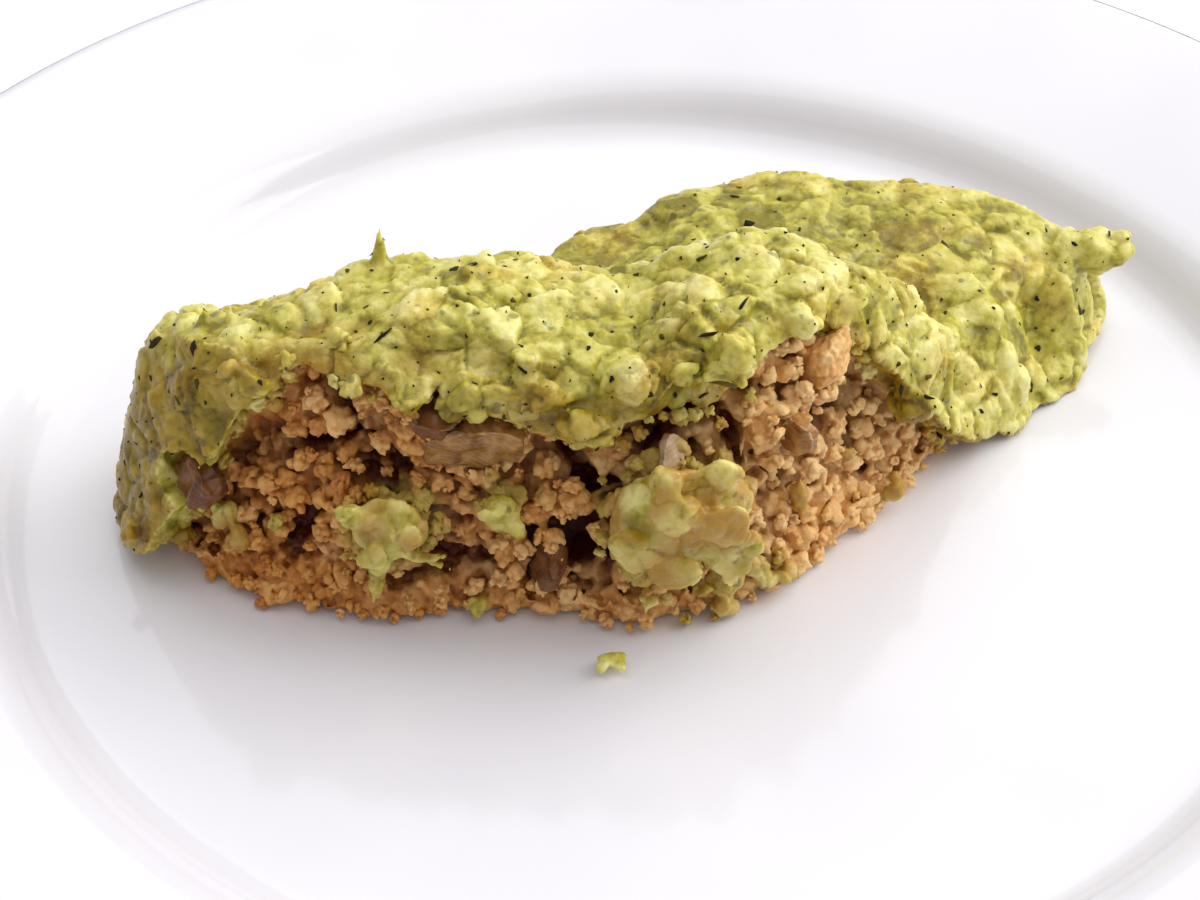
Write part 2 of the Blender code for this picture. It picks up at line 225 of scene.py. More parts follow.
# The deepest cracks on the cut side. Each end is a share of the block's width and of its height,
# and the width and the depth are in mm.
CRACKS = (
    ((0.13, 0.64), (0.15, 0.73), 2.0, 3),
    ((0.21, 0.90), (0.23, 0.73), 2.2, 3.5),
    ((0.11, 0.54), (0.16, 0.59), 2.0, 4),
    ((0.18, 0.65), (0.23, 0.69), 2.2, 4),
    ((0.29, 0.85), (0.33, 0.87), 2.2, 4),
    ((0.25, 0.62), (0.28, 0.57), 1.8, 3),
    ((0.13, 0.40), (0.14, 0.31), 1.8, 3),
    ((0.18, 0.38), (0.16, 0.24), 2.2, 4),
    ((0.26, 0.13), (0.32, 0.20), 2.0, 3),
    ((0.31, 0.23), (0.38, 0.19), 1.6, 3),
    ((0.43, 0.64), (0.47, 0.49), 2.0, 5),
    ((0.50, 0.71), (0.56, 0.78), 4.5, 7),
    ((0.41, 0.22), (0.47, 0.32), 4.0, 8),
    ((0.59, 0.71), (0.61, 0.57), 2.0, 4),
    ((0.66, 0.70), (0.71, 0.55), 2.0, 3),
    ((0.72, 0.63), (0.71, 0.55), 2.2, 5),
)
# The layers of nuggets, two in the core and two loose on it: their spacing, their smallest and
# largest radius, how deep they lie and how much deeper some do, all in mm, the share left out of the
# gaps, and how high they lie by the pieces bedded in the mince, in mm.
CORE_CRUMBS = (2.6, 1.3, 1.9, 0.8, 1.2, 0.2, -1.0)
CORE_NUGGETS = (3.2, 1.9, 2.5, 1.2, 1.0, 0.1, -1.0)
LOOSE_NUGGETS = (3.2, 1.7, 2.6, -0.5, 0.9, 0.8, -0.6)
LOOSE_CRUMBS = (3.0, 0.8, 1.4, -0.5, 1.2, 0.6, 0.4)
RIM_CRUMBS = (1.8, 0.9, 1.7, 0.65)  # spacing, smallest and largest radius, share that is kept
UNBEDDED = ("plate", "mince_filling", "mash_topping", "mash_crumb")
rng = np.random.default_rng(7)
noise.seed_set(3)  # else noise_vector starts from the clock


def points_of(mesh):
    found = np.empty(len(mesh.vertices) * 3)
    mesh.vertices.foreach_get("co", found)
    return found.reshape(-1, 3)


def normals_of(mesh):
    found = np.empty(len(mesh.vertices) * 3)
    mesh.vertex_normals.foreach_get("vector", found)
    return found.reshape(-1, 3)


def move_to(mesh, points):
    """Puts the mesh's points in these places."""
    mesh.vertices.foreach_set("co", points.ravel())
    mesh.update()


def triangles_of(mesh):
    mesh.calc_loop_triangles()
    found = np.empty(len(mesh.loop_triangles) * 3, dtype=np.int32)
    mesh.loop_triangles.foreach_get("vertices", found)
    return found.reshape(-1, 3)


def tree_of(mesh):
    """A search tree over the mesh's triangles."""
    return BVHTree.FromPolygons(points_of(mesh).tolist(), triangles_of(mesh).tolist())


def distances(tree, points):
    """How far each point is from the tree's triangles."""
    return np.array([tree.find_nearest(place)[3] for place in map(Vector, points.tolist())])


def eased(shares):
    """Shares from 0 to 1 that set off and arrive slowly."""
    return shares * shares * (3 - 2 * shares)


def smooth_noise(points, size):
    """Smooth noise from -1 to 1 whose swells are about this size."""
    return np.array([noise.noise(place) for place in map(Vector, (points / size).tolist())])


def warped(points, size, reach):
    """The points, shifted by up to reach in swirls of this size."""
    swirls = [noise.noise_vector(place) for place in map(Vector, (points / size).tolist())]
    return points + np.array(swirls) * reach


def hashed(cells, seed):
    """Three random numbers from 0 to 1 for each row of three whole numbers."""
    mixed = (cells * (73856093, 19349663, 83492791)).sum(axis=-1) + seed * 2654435761
    drawn = []
    for salt in (1, 2, 3):
        bits = (mixed + salt * 0x9E3779B9) & 0xFFFFFFFF
        for _ in range(2):
            bits = ((bits ^ (bits >> 16)) * 0x45D9F3B) & 0xFFFFFFFF
        drawn.append((bits ^ (bits >> 16)) / 0xFFFFFFFF)
    return np.stack(drawn, axis=-1)


def chunks(points, size, seed):
    """Splits space into chunks of this size. Gives each point's distance from its chunk's edge and
    its way from the chunk's middle, both in chunk sizes, and three random numbers of the chunk."""
    place = points / size
    cell = np.floor(place).astype(np.int64)
    nearest = np.full(len(points), 9.0)
    second = nearest.copy()
    way = np.zeros_like(place)
    luck = np.zeros_like(place)
    for step in itertools.product((-1, 0, 1), repeat=3):
        other = cell + step
        away = place - other - hashed(other, seed)
        distance = np.linalg.norm(away, axis=1)
        nearer = distance < nearest
        second = np.where(nearer, nearest, np.minimum(second, distance))
        nearest[nearer] = distance[nearer]
        way[nearer] = away[nearer]
        luck[nearer] = hashed(other[nearer], seed + 1)
    return second - nearest, way, luck


def domes(points, size, seed):
    """Splits space into rounded lumps of this size. Gives each point's height on its lump, from 0 to
    1 in the middle, how far it is from the creases round the lump, and three numbers of the lump."""
    edge, way, luck = chunks(warped(points, size * 0.9, size * 0.2), size, seed)
    rise = np.clip(1 - (way**2).sum(axis=1) / 0.7, 0, 1)
    off = np.clip(edge / 0.25, 0, 1)
    return rise, eased(off), luck


def facets(points, size, seed):
    """Splits space into flat-sided lumps of this size, as broken potato has. Gives each point's
    height, from about -1 to 1, and three numbers of its lump."""
    edge, way, luck = chunks(warped(points, size * 0.7, size * 0.15), size, seed)
    lean = ((luck * 2 - 1) * way).sum(axis=1)
    off = eased(np.clip(edge / 0.2, 0, 1))
    rounding = np.clip(1 - (way**2).sum(axis=1) / 0.7, 0, 1)
    return off * (0.35 + rounding * 0.5 + lean * 1.1 + (luck[:, 0] - 0.5) * 0.6) - 0.45, luck


def scatter(mesh, spacing, keep=None, tries=6):
    """Places over a mesh's surface, no two nearer than spacing: arrays of points and of normals."""
    points, triangles = points_of(mesh), triangles_of(mesh)
    a, b, c = (points[triangles[:, i]] for i in range(3))
    crosses = np.cross(b - a, c - a)
    areas = np.linalg.norm(crosses, axis=1) / 2
    count = int(areas.sum() / spacing**2 * tries)
    picked = rng.choice(len(areas), count, p=areas / areas.sum())
    u, v = rng.random((2, count, 1))
    flip = (u + v) > 1
    u, v = np.where(flip, 1 - u, u), np.where(flip, 1 - v, v)
    spots = a[picked] + (b - a)[picked] * u + (c - a)[picked] * v
    normals = crosses[picked] / (2 * areas[picked])[:, None]
    cells = np.floor(spots / spacing).astype(int)
    steps = list(itertools.product((-1, 0, 1), repeat=3))
    taken = {}
    kept = []
    for i, (x, y, z) in enumerate(cells.tolist()):
        near = [j for dx, dy, dz in steps for j in taken.get((x + dx, y + dy, z + dz), ())]
        if near and ((spots[near] - spots[i]) ** 2).sum(axis=1).min() < spacing**2:
            continue
        if keep and not keep(Vector(spots[i]), Vector(normals[i])):
            continue
        taken.setdefault((x, y, z), []).append(i)
        kept.append(i)
    return spots[kept], normals[kept]


def new_mesh(name, points, triangles):
    mesh = bpy.data.meshes.new(name)
    mesh.vertices.add(len(points))
    mesh.vertices.foreach_set("co", np.asarray(points, dtype=np.float32).ravel())
    mesh.loops.add(triangles.size)
    mesh.loops.foreach_set("vertex_index", triangles.ravel().astype(np.int32))
    mesh.polygons.add(len(triangles))
    mesh.polygons.foreach_set("loop_start", np.arange(0, triangles.size, 3, dtype=np.int32))
    mesh.update(calc_edges=True)
    return mesh


def joined(parts):
    """Points and triangles of all the parts, each a pair of points and triangles."""
    starts = np.cumsum([0] + [len(points) for points, _ in parts[:-1]])
    points = np.concatenate([points for points, _ in parts])
    return points, np.concatenate([faces + start for (_, faces), start in zip(parts, starts)])


def modified(mesh, kind, settings):
    """The mesh as one modifier leaves it."""
    work = bpy.data.objects.new(mesh.name, mesh)
    bpy.context.scene.collection.objects.link(work)
    modifier = work.modifiers.new(kind, kind)
    for name, value in settings.items():
        setattr(modifier, name, value)
    graph = bpy.context.evaluated_depsgraph_get()
    result = bpy.data.meshes.new_from_object(work.evaluated_get(graph))
    bpy.data.objects.remove(work)
    return result


def fused(name, parts, voxel, smoothing=1):
    """One closed mesh over all the parts."""
    mesh = new_mesh(name, *joined(parts))
    mesh = modified(mesh, "REMESH", {"mode": "VOXEL", "voxel_size": voxel})
    if smoothing:
        mesh = modified(mesh, "SMOOTH", {"factor": 0.5, "iterations": smoothing})
    return modified(mesh, "TRIANGULATE", {"quad_method": "SHORTEST_DIAGONAL"})


def thinned(mesh, triangles):
    """The mesh with triangles merged where it is flattest, until this many are left."""
    if len(mesh.polygons) <= triangles:
        return mesh
    return modified(mesh, "DECIMATE", {"ratio": triangles / len(mesh.polygons)})


def angular_lump(corners, seed):
    """Points and triangles of a flat-sided lump about 1 in radius."""
    draw = np.random.default_rng(seed)
    ways = draw.normal(size=(corners, 3))
    ways *= draw.uniform(0.8, 1.1, (corners, 1)) / np.linalg.norm(ways, axis=1)[:, None]
    bm = bmesh.new()
    for way in ways:
        bm.verts.new(way)
    hull = bmesh.ops.convex_hull(bm, input=bm.verts)
    bmesh.ops.delete(bm, geom=hull["geom_interior"], context="VERTS")
    bmesh.ops.triangulate(bm, faces=bm.faces)
    bm.verts.index_update()
    points = np.array([v.co[:] for v in bm.verts])
    faces = np.array([[v.index for v in f.verts] for f in bm.faces])
    bm.free()
    return points, faces


def nugget_shape(seed, triangles):
    """Points and triangles of a knobbly nugget about 1 in radius, like a burst grain."""
    draw = np.random.default_rng(seed)
    parts = []
    for knob in range(15):
        points, faces = angular_lump(12, seed * 20 + knob)
        way = draw.normal(size=3)
        way *= draw.uniform(0.48, 0.62) / np.linalg.norm(way) if knob else 0
        size = draw.uniform(0.28, 0.46) if knob else 0.74
        parts.append((points * size + way, faces))
    mesh = thinned(fused("nugget", parts, 0.07, 1), triangles)
    return points_of(mesh), triangles_of(mesh)


def random_turns(count):
    """Rotation matrices spread evenly over all directions."""
    q = rng.normal(size=(count, 4))
    w, x, y, z = (q / np.linalg.norm(q, axis=1)[:, None]).T
    rows = [
        [1 - 2 * (y * y + z * z), 2 * (x * y - z * w), 2 * (x * z + y * w)],
        [2 * (x * y + z * w), 1 - 2 * (x * x + z * z), 2 * (y * z - x * w)],
        [2 * (x * z - y * w), 2 * (y * z + x * w), 1 - 2 * (x * x + y * y)],
    ]
    return np.array(rows).transpose(2, 0, 1)


def heaped(shapes, centres, sizes):
    """Points and triangles of a shape at each centre, turned anyhow, and whose shape each point is.
    None of them reaches below the plate's well."""
    picks = rng.integers(len(shapes), size=len(centres))
    turns = random_turns(len(centres))
    parts = [
        ((shapes[pick][0] * size) @ turn.T + centre, shapes[pick][1])
        for pick, size, turn, centre in zip(picks, sizes, turns, centres)
    ]
    owners = np.repeat(np.arange(len(parts)), [len(points) for points, _ in parts])
    points, faces = joined(parts)
    points[:, 2] = np.maximum(points[:, 2], food_floor)
    return points, faces, owners


def paint(mesh, name, values):
    """Stores one number for each of the mesh's points, for its material to read."""
    attribute = mesh.attributes.new(name, "FLOAT", "POINT")
    attribute.data.foreach_set("value", np.asarray(values, dtype=np.float32))


def depth_below(tree, points, reach):
    """How deep each point lies inside the outline, from 0 on it to 1 at reach below it."""
    depths = np.zeros(len(points))
    for i, point in enumerate(map(Vector, points.tolist())):
        found, normal, _, distance = tree.find_nearest(point)
        if (point - found).dot(normal) < 0:
            depths[i] = distance / reach
    return np.minimum(depths, 1)


def proudness(mesh, rounds, reach):
    """How far each point stands out of its surroundings: 1 at reach above them, -1 below them."""
    points, normals = points_of(mesh), normals_of(mesh)
    ends = np.empty(len(mesh.edges) * 2, dtype=np.int32)
    mesh.edges.foreach_get("vertices", ends)
    ends = ends.reshape(-1, 2)
    here, there = np.concatenate([ends, ends[:, ::-1]]).T
    count = len(points)
    neighbours = np.bincount(here, minlength=count)
    smooth = points
    for _ in range(rounds):
        sums = [np.bincount(here, smooth[there, axis], count) for axis in range(3)]
        smooth = np.stack(sums, axis=1) / neighbours[:, None]
    return np.clip(((points - smooth) * normals).sum(axis=1) / reach, -1, 1)


def push(mesh, rise):
    """Moves each point out along its normal, but never below the plate's well."""
    points = points_of(mesh) + normals_of(mesh) * rise[:, None]
    points[:, 2] = np.maximum(points[:, 2], food_floor)
    move_to(mesh, points)


def outline_of(node):
    """A copy of a node's mesh whose faces share their points."""
    bm = bmesh.new()
    bm.from_mesh(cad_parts[node].data)
    bmesh.ops.remove_doubles(bm, verts=bm.verts, dist=0.01 * MM)
    mesh = bpy.data.meshes.new(node + "_outline")
    bm.to_mesh(mesh)
    bm.free()
    return mesh


mince_outline = outline_of("mince_filling")
mash_outline = outline_of("mash_topping")
mince_tree = tree_of(mince_outline)
mash_tree = tree_of(mash_outline)
mince_low, mince_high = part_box("mince_filling")
mash_low, mash_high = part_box("mash_topping")
food_floor = mince_low.z


def front_of(tree, box, share_x, share_z):
    """The place on the front of a piece at these shares of its box's width and height, and the way
    its surface faces there; the nearest place if it has none just there."""
    low, high = box
    size = high - low
    start = Vector((low.x + share_x * size.x, low.y - size.y, low.z + share_z * size.z))
    place, normal, _, _ = tree.ray_cast(start, Vector((0, 1, 0)))
    if place is None:
        place, normal, _, _ = tree.find_nearest(start + Vector((0, 1.2 * size.y, 0)))
    return place, normal


def on_hem_front(share_x, share_z):
    """The place on the mash's front at these shares of its width and height."""
    return np.array(front_of(mash_tree, (mash_low, mash_high), share_x, share_z)[0])


# Where the mash's hem is drawn up, as shares of the mash's width and height, and the reach and the
# rise in mm.
HEM_LIFTS = ((0.545, 0.735, 4.5, 5.0), (0.565, 0.735, 4.0, 4.5))
hem_lifts = [(on_hem_front(*row[:2]), *row[2:]) for row in HEM_LIFTS]


def on_cut_side(share_x, share_z):
    """The place on the mince's front at these shares of its width and height."""
    return np.array(front_of(mince_tree, (mince_low, mince_high), share_x, share_z)[0])


cracks = [
    (on_cut_side(*start), on_cut_side(*end), width * MM, depth * MM) for start, end, width, depth in CRACKS
]

# The pieces that lie half in the mince.
bedded_outlines = [outline_of(name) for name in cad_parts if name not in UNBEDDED]
bedded = [tree_of(outline) for outline in bedded_outlines]
DABS = ("mash_dab_front", "mash_smear_left", "mash_smear_middle")
dab_trees = [tree_of(outline_of(name)) for name in DABS]


def shows(point, normal):
    """Whether the mince can be seen here: it isn't under the mash or on the plate."""
    if normal.z < -0.7 or point.z < food_floor + 0.4 * MM:
        return False
    if min((point - Vector(spot)).length for spot, *_ in hem_lifts) < 3.5 * MM:
        return True
    return mash_tree.ray_cast(point + normal * 0.05 * MM, normal, 1.3 * MM)[0] is None


def nearest_of(spots, points):
    """The number of the nearest spot to each point, and how far away it is."""
    tree = KDTree(len(spots))
    for i, spot in enumerate(spots):
        tree.insert(spot, i)
    tree.balance()
    found = [tree.find(place)[1:] for place in map(Vector, points.tolist())]
    return np.array([number for number, _ in found]), np.array([away for _, away in found])


def beside(points, start, end):
    """How far each point is from the line between two places."""
    run = end - start
    share = np.clip((points - start) @ run / (run @ run), 0, 1)
    return np.linalg.norm(points - start - share[:, None] * run, axis=1)


def missing_depth(points):
    """How far the mince is missing at each point: along the cracks and between some clusters."""
    edge, _, luck = chunks(warped(points, 6 * MM, 1.6 * MM), CLUSTER, 3)
    missing = np.clip(1.4 - edge / 0.11, 0, 1) * (luck[:, 0] > 0.5) * CLUSTER_GAP
    missing += (luck[:, 1] * 2 - 1) * CLUSTER_RISE * np.clip(edge / 0.2, 0, 1)
    for start, end, width, depth in cracks:
        near = np.clip(2.2 - 2.2 * beside(points, start, end) / width, 0, 1)
        missing = np.maximum(missing, near * depth)
    return missing


def packed_core():
    """The block's outline, its visible sides drawn in and broken up into packed granules."""
    mesh = fused("core", [(points_of(mince_outline), triangles_of(mince_outline))], 0.6 * MM, 0)
    points, normals = points_of(mesh), normals_of(mesh)
    shown = np.array([shows(Vector(p), Vector(n)) for p, n in zip(points, normals)])
    seen = nearest_of(points[shown], points)[1] < HEM_GAP
    rise, off, luck = domes(points, GRANULE, 5)
    height = rise * 1.3 * MM + off * (luck[:, 0] - 0.5) * 1.2 * MM - 0.5 * (1 - off) * MM
    low = np.clip(1.6 - (points[:, 2] - mince_low.z) / (7 * MM), 0, 1)
    core_depth = CORE_DEPTH * (1 - GRAVY_FILL * soak_at(points) * low)
    push(mesh, np.where(seen, height - core_depth - missing_depth(points), -0.3 * MM))
    return points_of(mesh), triangles_of(mesh)


def nugget_spots(spacing, smallest, largest, depth, spread, skip, collar):
    """Middles and radii of a layer of nuggets over the visible mince."""
    spots, normals = scatter(mince_outline, spacing * MM, shows)
    missing = missing_depth(spots)
    stay = (missing < 1.2 * MM) | (rng.random(len(spots)) > skip)
    spots, normals, missing = spots[stay], normals[stay], missing[stay]
    radius = rng.uniform(smallest * MM, largest * MM, len(spots))
    below = depth * MM + radius * 0.7 + rng.uniform(0, spread * MM, len(spots)) + missing
    nearby = np.min([distances(tree, spots) for tree in bedded], axis=0)
    below = np.where(nearby < COLLAR, -collar * MM, below)
    centres = spots - normals * below[:, None]
    centres[:, 2] = np.maximum(centres[:, 2], food_floor + radius * 0.8)
    return centres, radius


def on_rim(point, normal):
    """Whether a place on a piece that lies in the mince is on its visible rim."""
    if mince_tree.find_nearest(point)[3] > 1.2 * MM:
        return False
    return mince_tree.ray_cast(point + normal * 0.1 * MM, normal, 3 * MM)[0] is None


def rim_spots(spacing, smallest, largest, share):
    """Middles and radii of nuggets that overlap this share of the rims of the bedded pieces."""
    found = [scatter(outline, spacing * MM, on_rim)[0] for outline in bedded_outlines]
    spots = np.concatenate(found)
    spots = spots[rng.random(len(spots)) < share]
    return spots, rng.uniform(smallest * MM, largest * MM, len(spots))


def pile(shapes, *layers):
    """Nuggets of these shapes at the middles and with the radii of all the layers."""
    centres = np.concatenate([centres for centres, _ in layers])
    radius = np.concatenate([radius for _, radius in layers])
    sizes = radius[:, None] * rng.uniform(0.72, 1.2, (len(centres), 3))
    return *heaped(shapes, centres, sizes), centres


def shares_of(low, high, points):
    """Where each point lies, as shares of a box's width, depth and height."""
    return (points - np.array(low)) / np.array(high - low)


def lit_at(points):
    """How much paler the mince is painted at each point: painted light, paler towards the right end,
    on the window's side.
    """
    share = shares_of(mince_low, mince_high, points)[:, 0]
    return 0.48 * np.clip(share * 1.6 - 0.3, 0, 1)


def mashed_at(centres):
    """How much mash clings to the nuggets at each place: it does near the dabs and the mash's hem."""
    near = np.min([distances(tree, centres) for tree in dab_trees], axis=0)
    reach = np.maximum(1.5 - near / (2.6 * MM), 1.2 - distances(mash_tree, centres) / (1.6 * MM))
    return np.clip(reach + smooth_noise(centres, 5 * MM) + rng.uniform(-0.5, 0.1, len(centres)), 0, 1)


def soak_at(points):
    """How far gravy has soaked the mince: more towards the left end and low down."""
    share = shares_of(mince_low, mince_high, points)
    return np.clip(0.75 - share[:, 0] * 0.9 - share[:, 2] * 0.25 + smooth_noise(points, 9 * MM) * 0.5, 0, 1)


# Cooked soya mince: a spongy protein crumb, tan where it is dry, darker and redder where gravy
# fills it. Its crevices are painted dark red-brown as painted shade, points that stand out are
# painted paler as painted highlights, and the right end is painted paler as painted light. Wet
# knobs give small highlights, and light sinks a little way into each nugget.
def mince_material():
    material, add, surface = new_material("gravy_soaked_soya_mince")
    place = add("TexCoord").outputs["Object"]
    tone, sunk, proud, soak, mashed = (
        add("Attribute", {"attribute_name": name}).outputs["Fac"]
        for name in ("tone", "sunk", "proud", "soak", "mashed")
    )
    pores = add("TexNoise", inputs={"Vector": place, "Scale": 1 / 0.0009, "Detail": 4.0})
    spot = add("Math", {"operation": "MULTIPLY_ADD"}, {0: pores, 1: 0.45, 2: tone})
    # Painted highlights and shade: points that stand out are painted paler, hollows darker.
    tone_and_knob_light = add("Math", {"operation": "MULTIPLY_ADD"}, {0: proud, 1: 0.30, 2: spot})
    tan = add(
        "ValToRGB",
        inputs={"Fac": tone_and_knob_light},
        stops=((0.05, "8A4E1C"), (1.0, "F4CC8C"), (0.35, "C88A44"), (0.7, "E4AE66")),
    )
    soaked = add(
        "ValToRGB", inputs={"Fac": tone_and_knob_light}, stops=((0.05, "843C08"), (1.0, "E09C3E"), (0.45, "BE7020"))
    )
    dry_or_wet = add("Mix", {"data_type": "RGBA"}, {0: soak, 6: tan, 7: soaked})
    mash = add("Mix", {"data_type": "RGBA"}, {0: mashed, 6: dry_or_wet.outputs[2], 7: linear("C2A850")})
    # Painted shade: the deeper below the block's outline, the nearer to dark red-brown.
    painted_crevice_shade = add("MapRange", inputs={"Value": sunk, "From Min": 0.4, "From Max": 1.0})
    colour = add("Mix", {"data_type": "RGBA"}, {0: painted_crevice_shade, 6: mash.outputs[2], 7: linear("5A2206")})
    wet = add("MapRange", inputs={"Value": pores, "To Min": 0.34, "To Max": 0.62})
    facets = add("TexVoronoi", inputs={"Vector": place, "Scale": 1 / 0.0009})
    faceted_bump = add("Bump", {"invert": True}, {"Height": facets, "Strength": 0.5, "Distance": 0.4 * MM})
    bump = add(
        "Bump", inputs={"Height": pores, "Strength": 0.4, "Distance": 0.25 * MM, "Normal": faceted_bump}
    )
    shader = add(
        "BsdfPrincipled",
        inputs={
            "Base Color": colour.outputs[2], "Roughness": wet, "Normal": bump, "IOR": 1.40,
            "Subsurface Weight": 0.12, "Subsurface Radius": (1.0, 0.45, 0.2), "Subsurface Scale": 1.0 * MM,
        },
    )
    surface(shader)
    return material


def paint_mince(mesh, middles, owners, soak, rounds, reach):
    """Stores what the mince's material reads. Each nugget has a tone of its own, with painted light
    added towards the right end; points that stand out get painted highlights, deep ones painted shade.
    """
    paint(mesh, "tone", (rng.uniform(0.0, 0.5, len(middles)) + lit_at(middles))[owners])
    paint(mesh, "mashed", mashed_at(middles)[owners])
    paint(mesh, "sunk", depth_below(mince_tree, points_of(mesh), SHOWN_DEPTH))
    paint(mesh, "proud", proudness(mesh, rounds, reach))
    paint(mesh, "soak", soak)


mince_finish = mince_material()
large_nuggets = [nugget_shape(seed, NUGGET_TRIANGLES) for seed in range(NUGGET_SHAPES)]
small_nuggets = [nugget_shape(seed, CRUMB_TRIANGLES) for seed in range(50, 50 + NUGGET_SHAPES)]
upper = pile(small_nuggets, nugget_spots(*CORE_CRUMBS))
lower = pile(large_nuggets, nugget_spots(*CORE_NUGGETS))
block = fused("mince", [packed_core(), upper[:2], lower[:2]], MINCE_VOXEL, 1)
places = points_of(block)
rise, off, _ = domes(places, 1.2 * MM, 11)
seen = places[:, 2] > food_floor + 0.3 * MM
push(block, (rise * 0.24 + off * 0.08 - 0.16) * MM * seen)
middles = np.concatenate([upper[3], lower[3]])
owners, _ = nearest_of(middles, places)
paint_mince(block, middles, owners, soak_at(places), 6, 0.35 * MM)
mince_block = dress(thinned(block, MINCE_TRIANGLES), "mince_block", mince_finish)
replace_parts(mince_block, "mince_filling")


def loose_layer(name, layer):
    """A layer of nuggets that lie on the block and aren't fused with it."""
    points, faces, owners, middles = layer
    mesh = new_mesh(name, points, faces)
    paint_mince(mesh, middles, owners, soak_at(middles)[owners], 3, 0.3 * MM)
    dress(mesh, name, mince_finish)


loose_layer("mince_nuggets", pile(large_nuggets, nugget_spots(*LOOSE_NUGGETS)))
loose_layer("mince_crumbs", pile(small_nuggets, nugget_spots(*LOOSE_CRUMBS), rim_spots(*RIM_CRUMBS)))

# ---- Onion and a large chunk of soya ------------------------------------------------------------
# Diced onion cooked in the gravy until it is soft, brown and half clear, with its layers showing as
# fine ridges, and one large chunk of soya with flat, torn sides. All are pressed into the mince.
ONION_SINK = 1.5 * MM
ONION_FLAT = 0.25  # how far out from its middle an onion piece is cut flat, as a share of its reach
LAYER = 0.65 * MM  # thickness of one layer of onion flesh
CHUNK_SINK = 1.1 * MM
CHUNK_FLAT = 0.40
CHUNK_SIDES = ((0.1, -1, 0.25), (0.9, -0.6, 0.2), (-0.8, -0.7, 0), (0.2, -0.5, 1), (-0.6, 0, 1))


# Soft onion: wet, translucent flesh stained by gravy, paler along the ridges of its layers.
def onion_material(name, dark, light):
    material, add, surface = new_material(name)
    place = add("TexCoord").outputs["Object"]
    layer = add("Attribute", {"attribute_name": "layer"}).outputs["Fac"]
    mottle = add("TexNoise", inputs={"Vector": place, "Scale": 1 / 0.0022, "Detail": 3.0})
    mixed = add("Math", {"operation": "MULTIPLY_ADD"}, {0: layer, 1: 0.12, 2: mottle})
    colour = add("ValToRGB", inputs={"Fac": mixed}, stops=((0.35, dark), (0.75, light)))
    shader = add(
        "BsdfPrincipled",
        inputs={
            "Base Color": colour, "Roughness": 0.24, "IOR": 1.38, "Subsurface Weight": 0.5,
            "Subsurface Radius": (1.0, 0.6, 0.35), "Subsurface Scale": 1.6 * MM,
        },
    )
    surface(shader)
    return material


def faceted(points, ways, share):
    """The points, pressed almost flat against a plane across each way at this share of the reach."""
    middle = points.mean(axis=0)
    for way in ways:
        way = np.array(way) / np.linalg.norm(way)
        height = (points - middle) @ way
        points = points - way * np.maximum(height - height.max() * share, 0)[:, None] * 0.9
    return points


def pressed_in(node, sink):
    """The node's solid as one even mesh, moved into the mince, and the way out of the mince."""
    low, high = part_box(node)
    outward = np.array(mince_tree.find_nearest((low + high) / 2)[1])
    outline = outline_of(node)
    mesh = fused(node, [(points_of(outline) - outward * sink, triangles_of(outline))], 0.3 * MM, 1)
    return mesh, outward


def onion_piece(node, material, deeper, width):
    """A piece of onion, cut flat on the side that shows, where its layers lie nearly level."""
    mesh, outward = pressed_in(node, ONION_SINK + deeper)
    places = faceted(points_of(mesh), [outward], ONION_FLAT)
    middle = places.mean(axis=0)
    move_to(mesh, middle + (places - middle) * (width, 1, 1))
    places = points_of(mesh)
    slope = rng.uniform(-0.35, 0.35, 2)
    height = places[:, 2] + places[:, :2] @ slope + smooth_noise(places, 4 * MM) * 0.9 * MM
    layer = 0.5 + 0.5 * np.sin(height / LAYER * 2 * math.pi)
    push(mesh, (layer - 0.5) * 0.04 * MM + smooth_noise(places, 2.5 * MM) * width * MM - 0.2 * MM)
    paint(mesh, "layer", layer)
    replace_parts(dress(mesh, node + "_flesh", material), node)


brown_onion = onion_material("gravy_stained_onion", "56301A", "8A5A32")
hem_onion = onion_material("mash_coated_onion", "B09C48", "C8B862")
clear_onion = onion_material("half_clear_onion", "7E5022", "C29454")
pale_onion = onion_material("pale_onion", "A8865E", "D0B692")
# Which onion each piece is, how much further than the others it is pressed in, in mm, and the share
# of its width that is left.
ONIONS = {
    "onion_left": (brown_onion, 0.0, 1),
    "onion_high": (brown_onion, 0.3, 1),
    "onion_low": (brown_onion, 0.3, 1),
    "onion_middle": (clear_onion, -0.2, 1),
    "onion_right": (clear_onion, 0.3, 1),
    "onion_in_hem": (hem_onion, 1.9, 1),
    "onion_pale": (pale_onion, 2.0, 0.65),
}
for name, (onion_finish, deeper, width) in ONIONS.items():
    onion_piece(name, onion_finish, deeper * MM, width)

chunk, outward = pressed_in("soya_chunk", CHUNK_SINK)
move_to(chunk, faceted(points_of(chunk), CHUNK_SIDES, CHUNK_FLAT))
places = points_of(chunk)
rise, _, _ = domes(places, 1.4 * MM, 61)
lump, _ = facets(places, 3.2 * MM, 62)
push(chunk, (lump * 0.22 + rise * 0.10 + smooth_noise(places, 1.0 * MM) * 0.3) * MM)
# Its tone, no painted crevice shade, mash or soak, and painted highlights where it stands out.
paint(chunk, "tone", 0.5 + smooth_noise(places, 3 * MM) * 0.25)
for name in ("sunk", "mashed", "soak"):
    paint(chunk, name, np.zeros(len(places)))
paint(chunk, "proud", proudness(chunk, 6, 0.35 * MM))
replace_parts(dress(chunk, "large_soya_chunk", mince_finish), "soya_chunk")

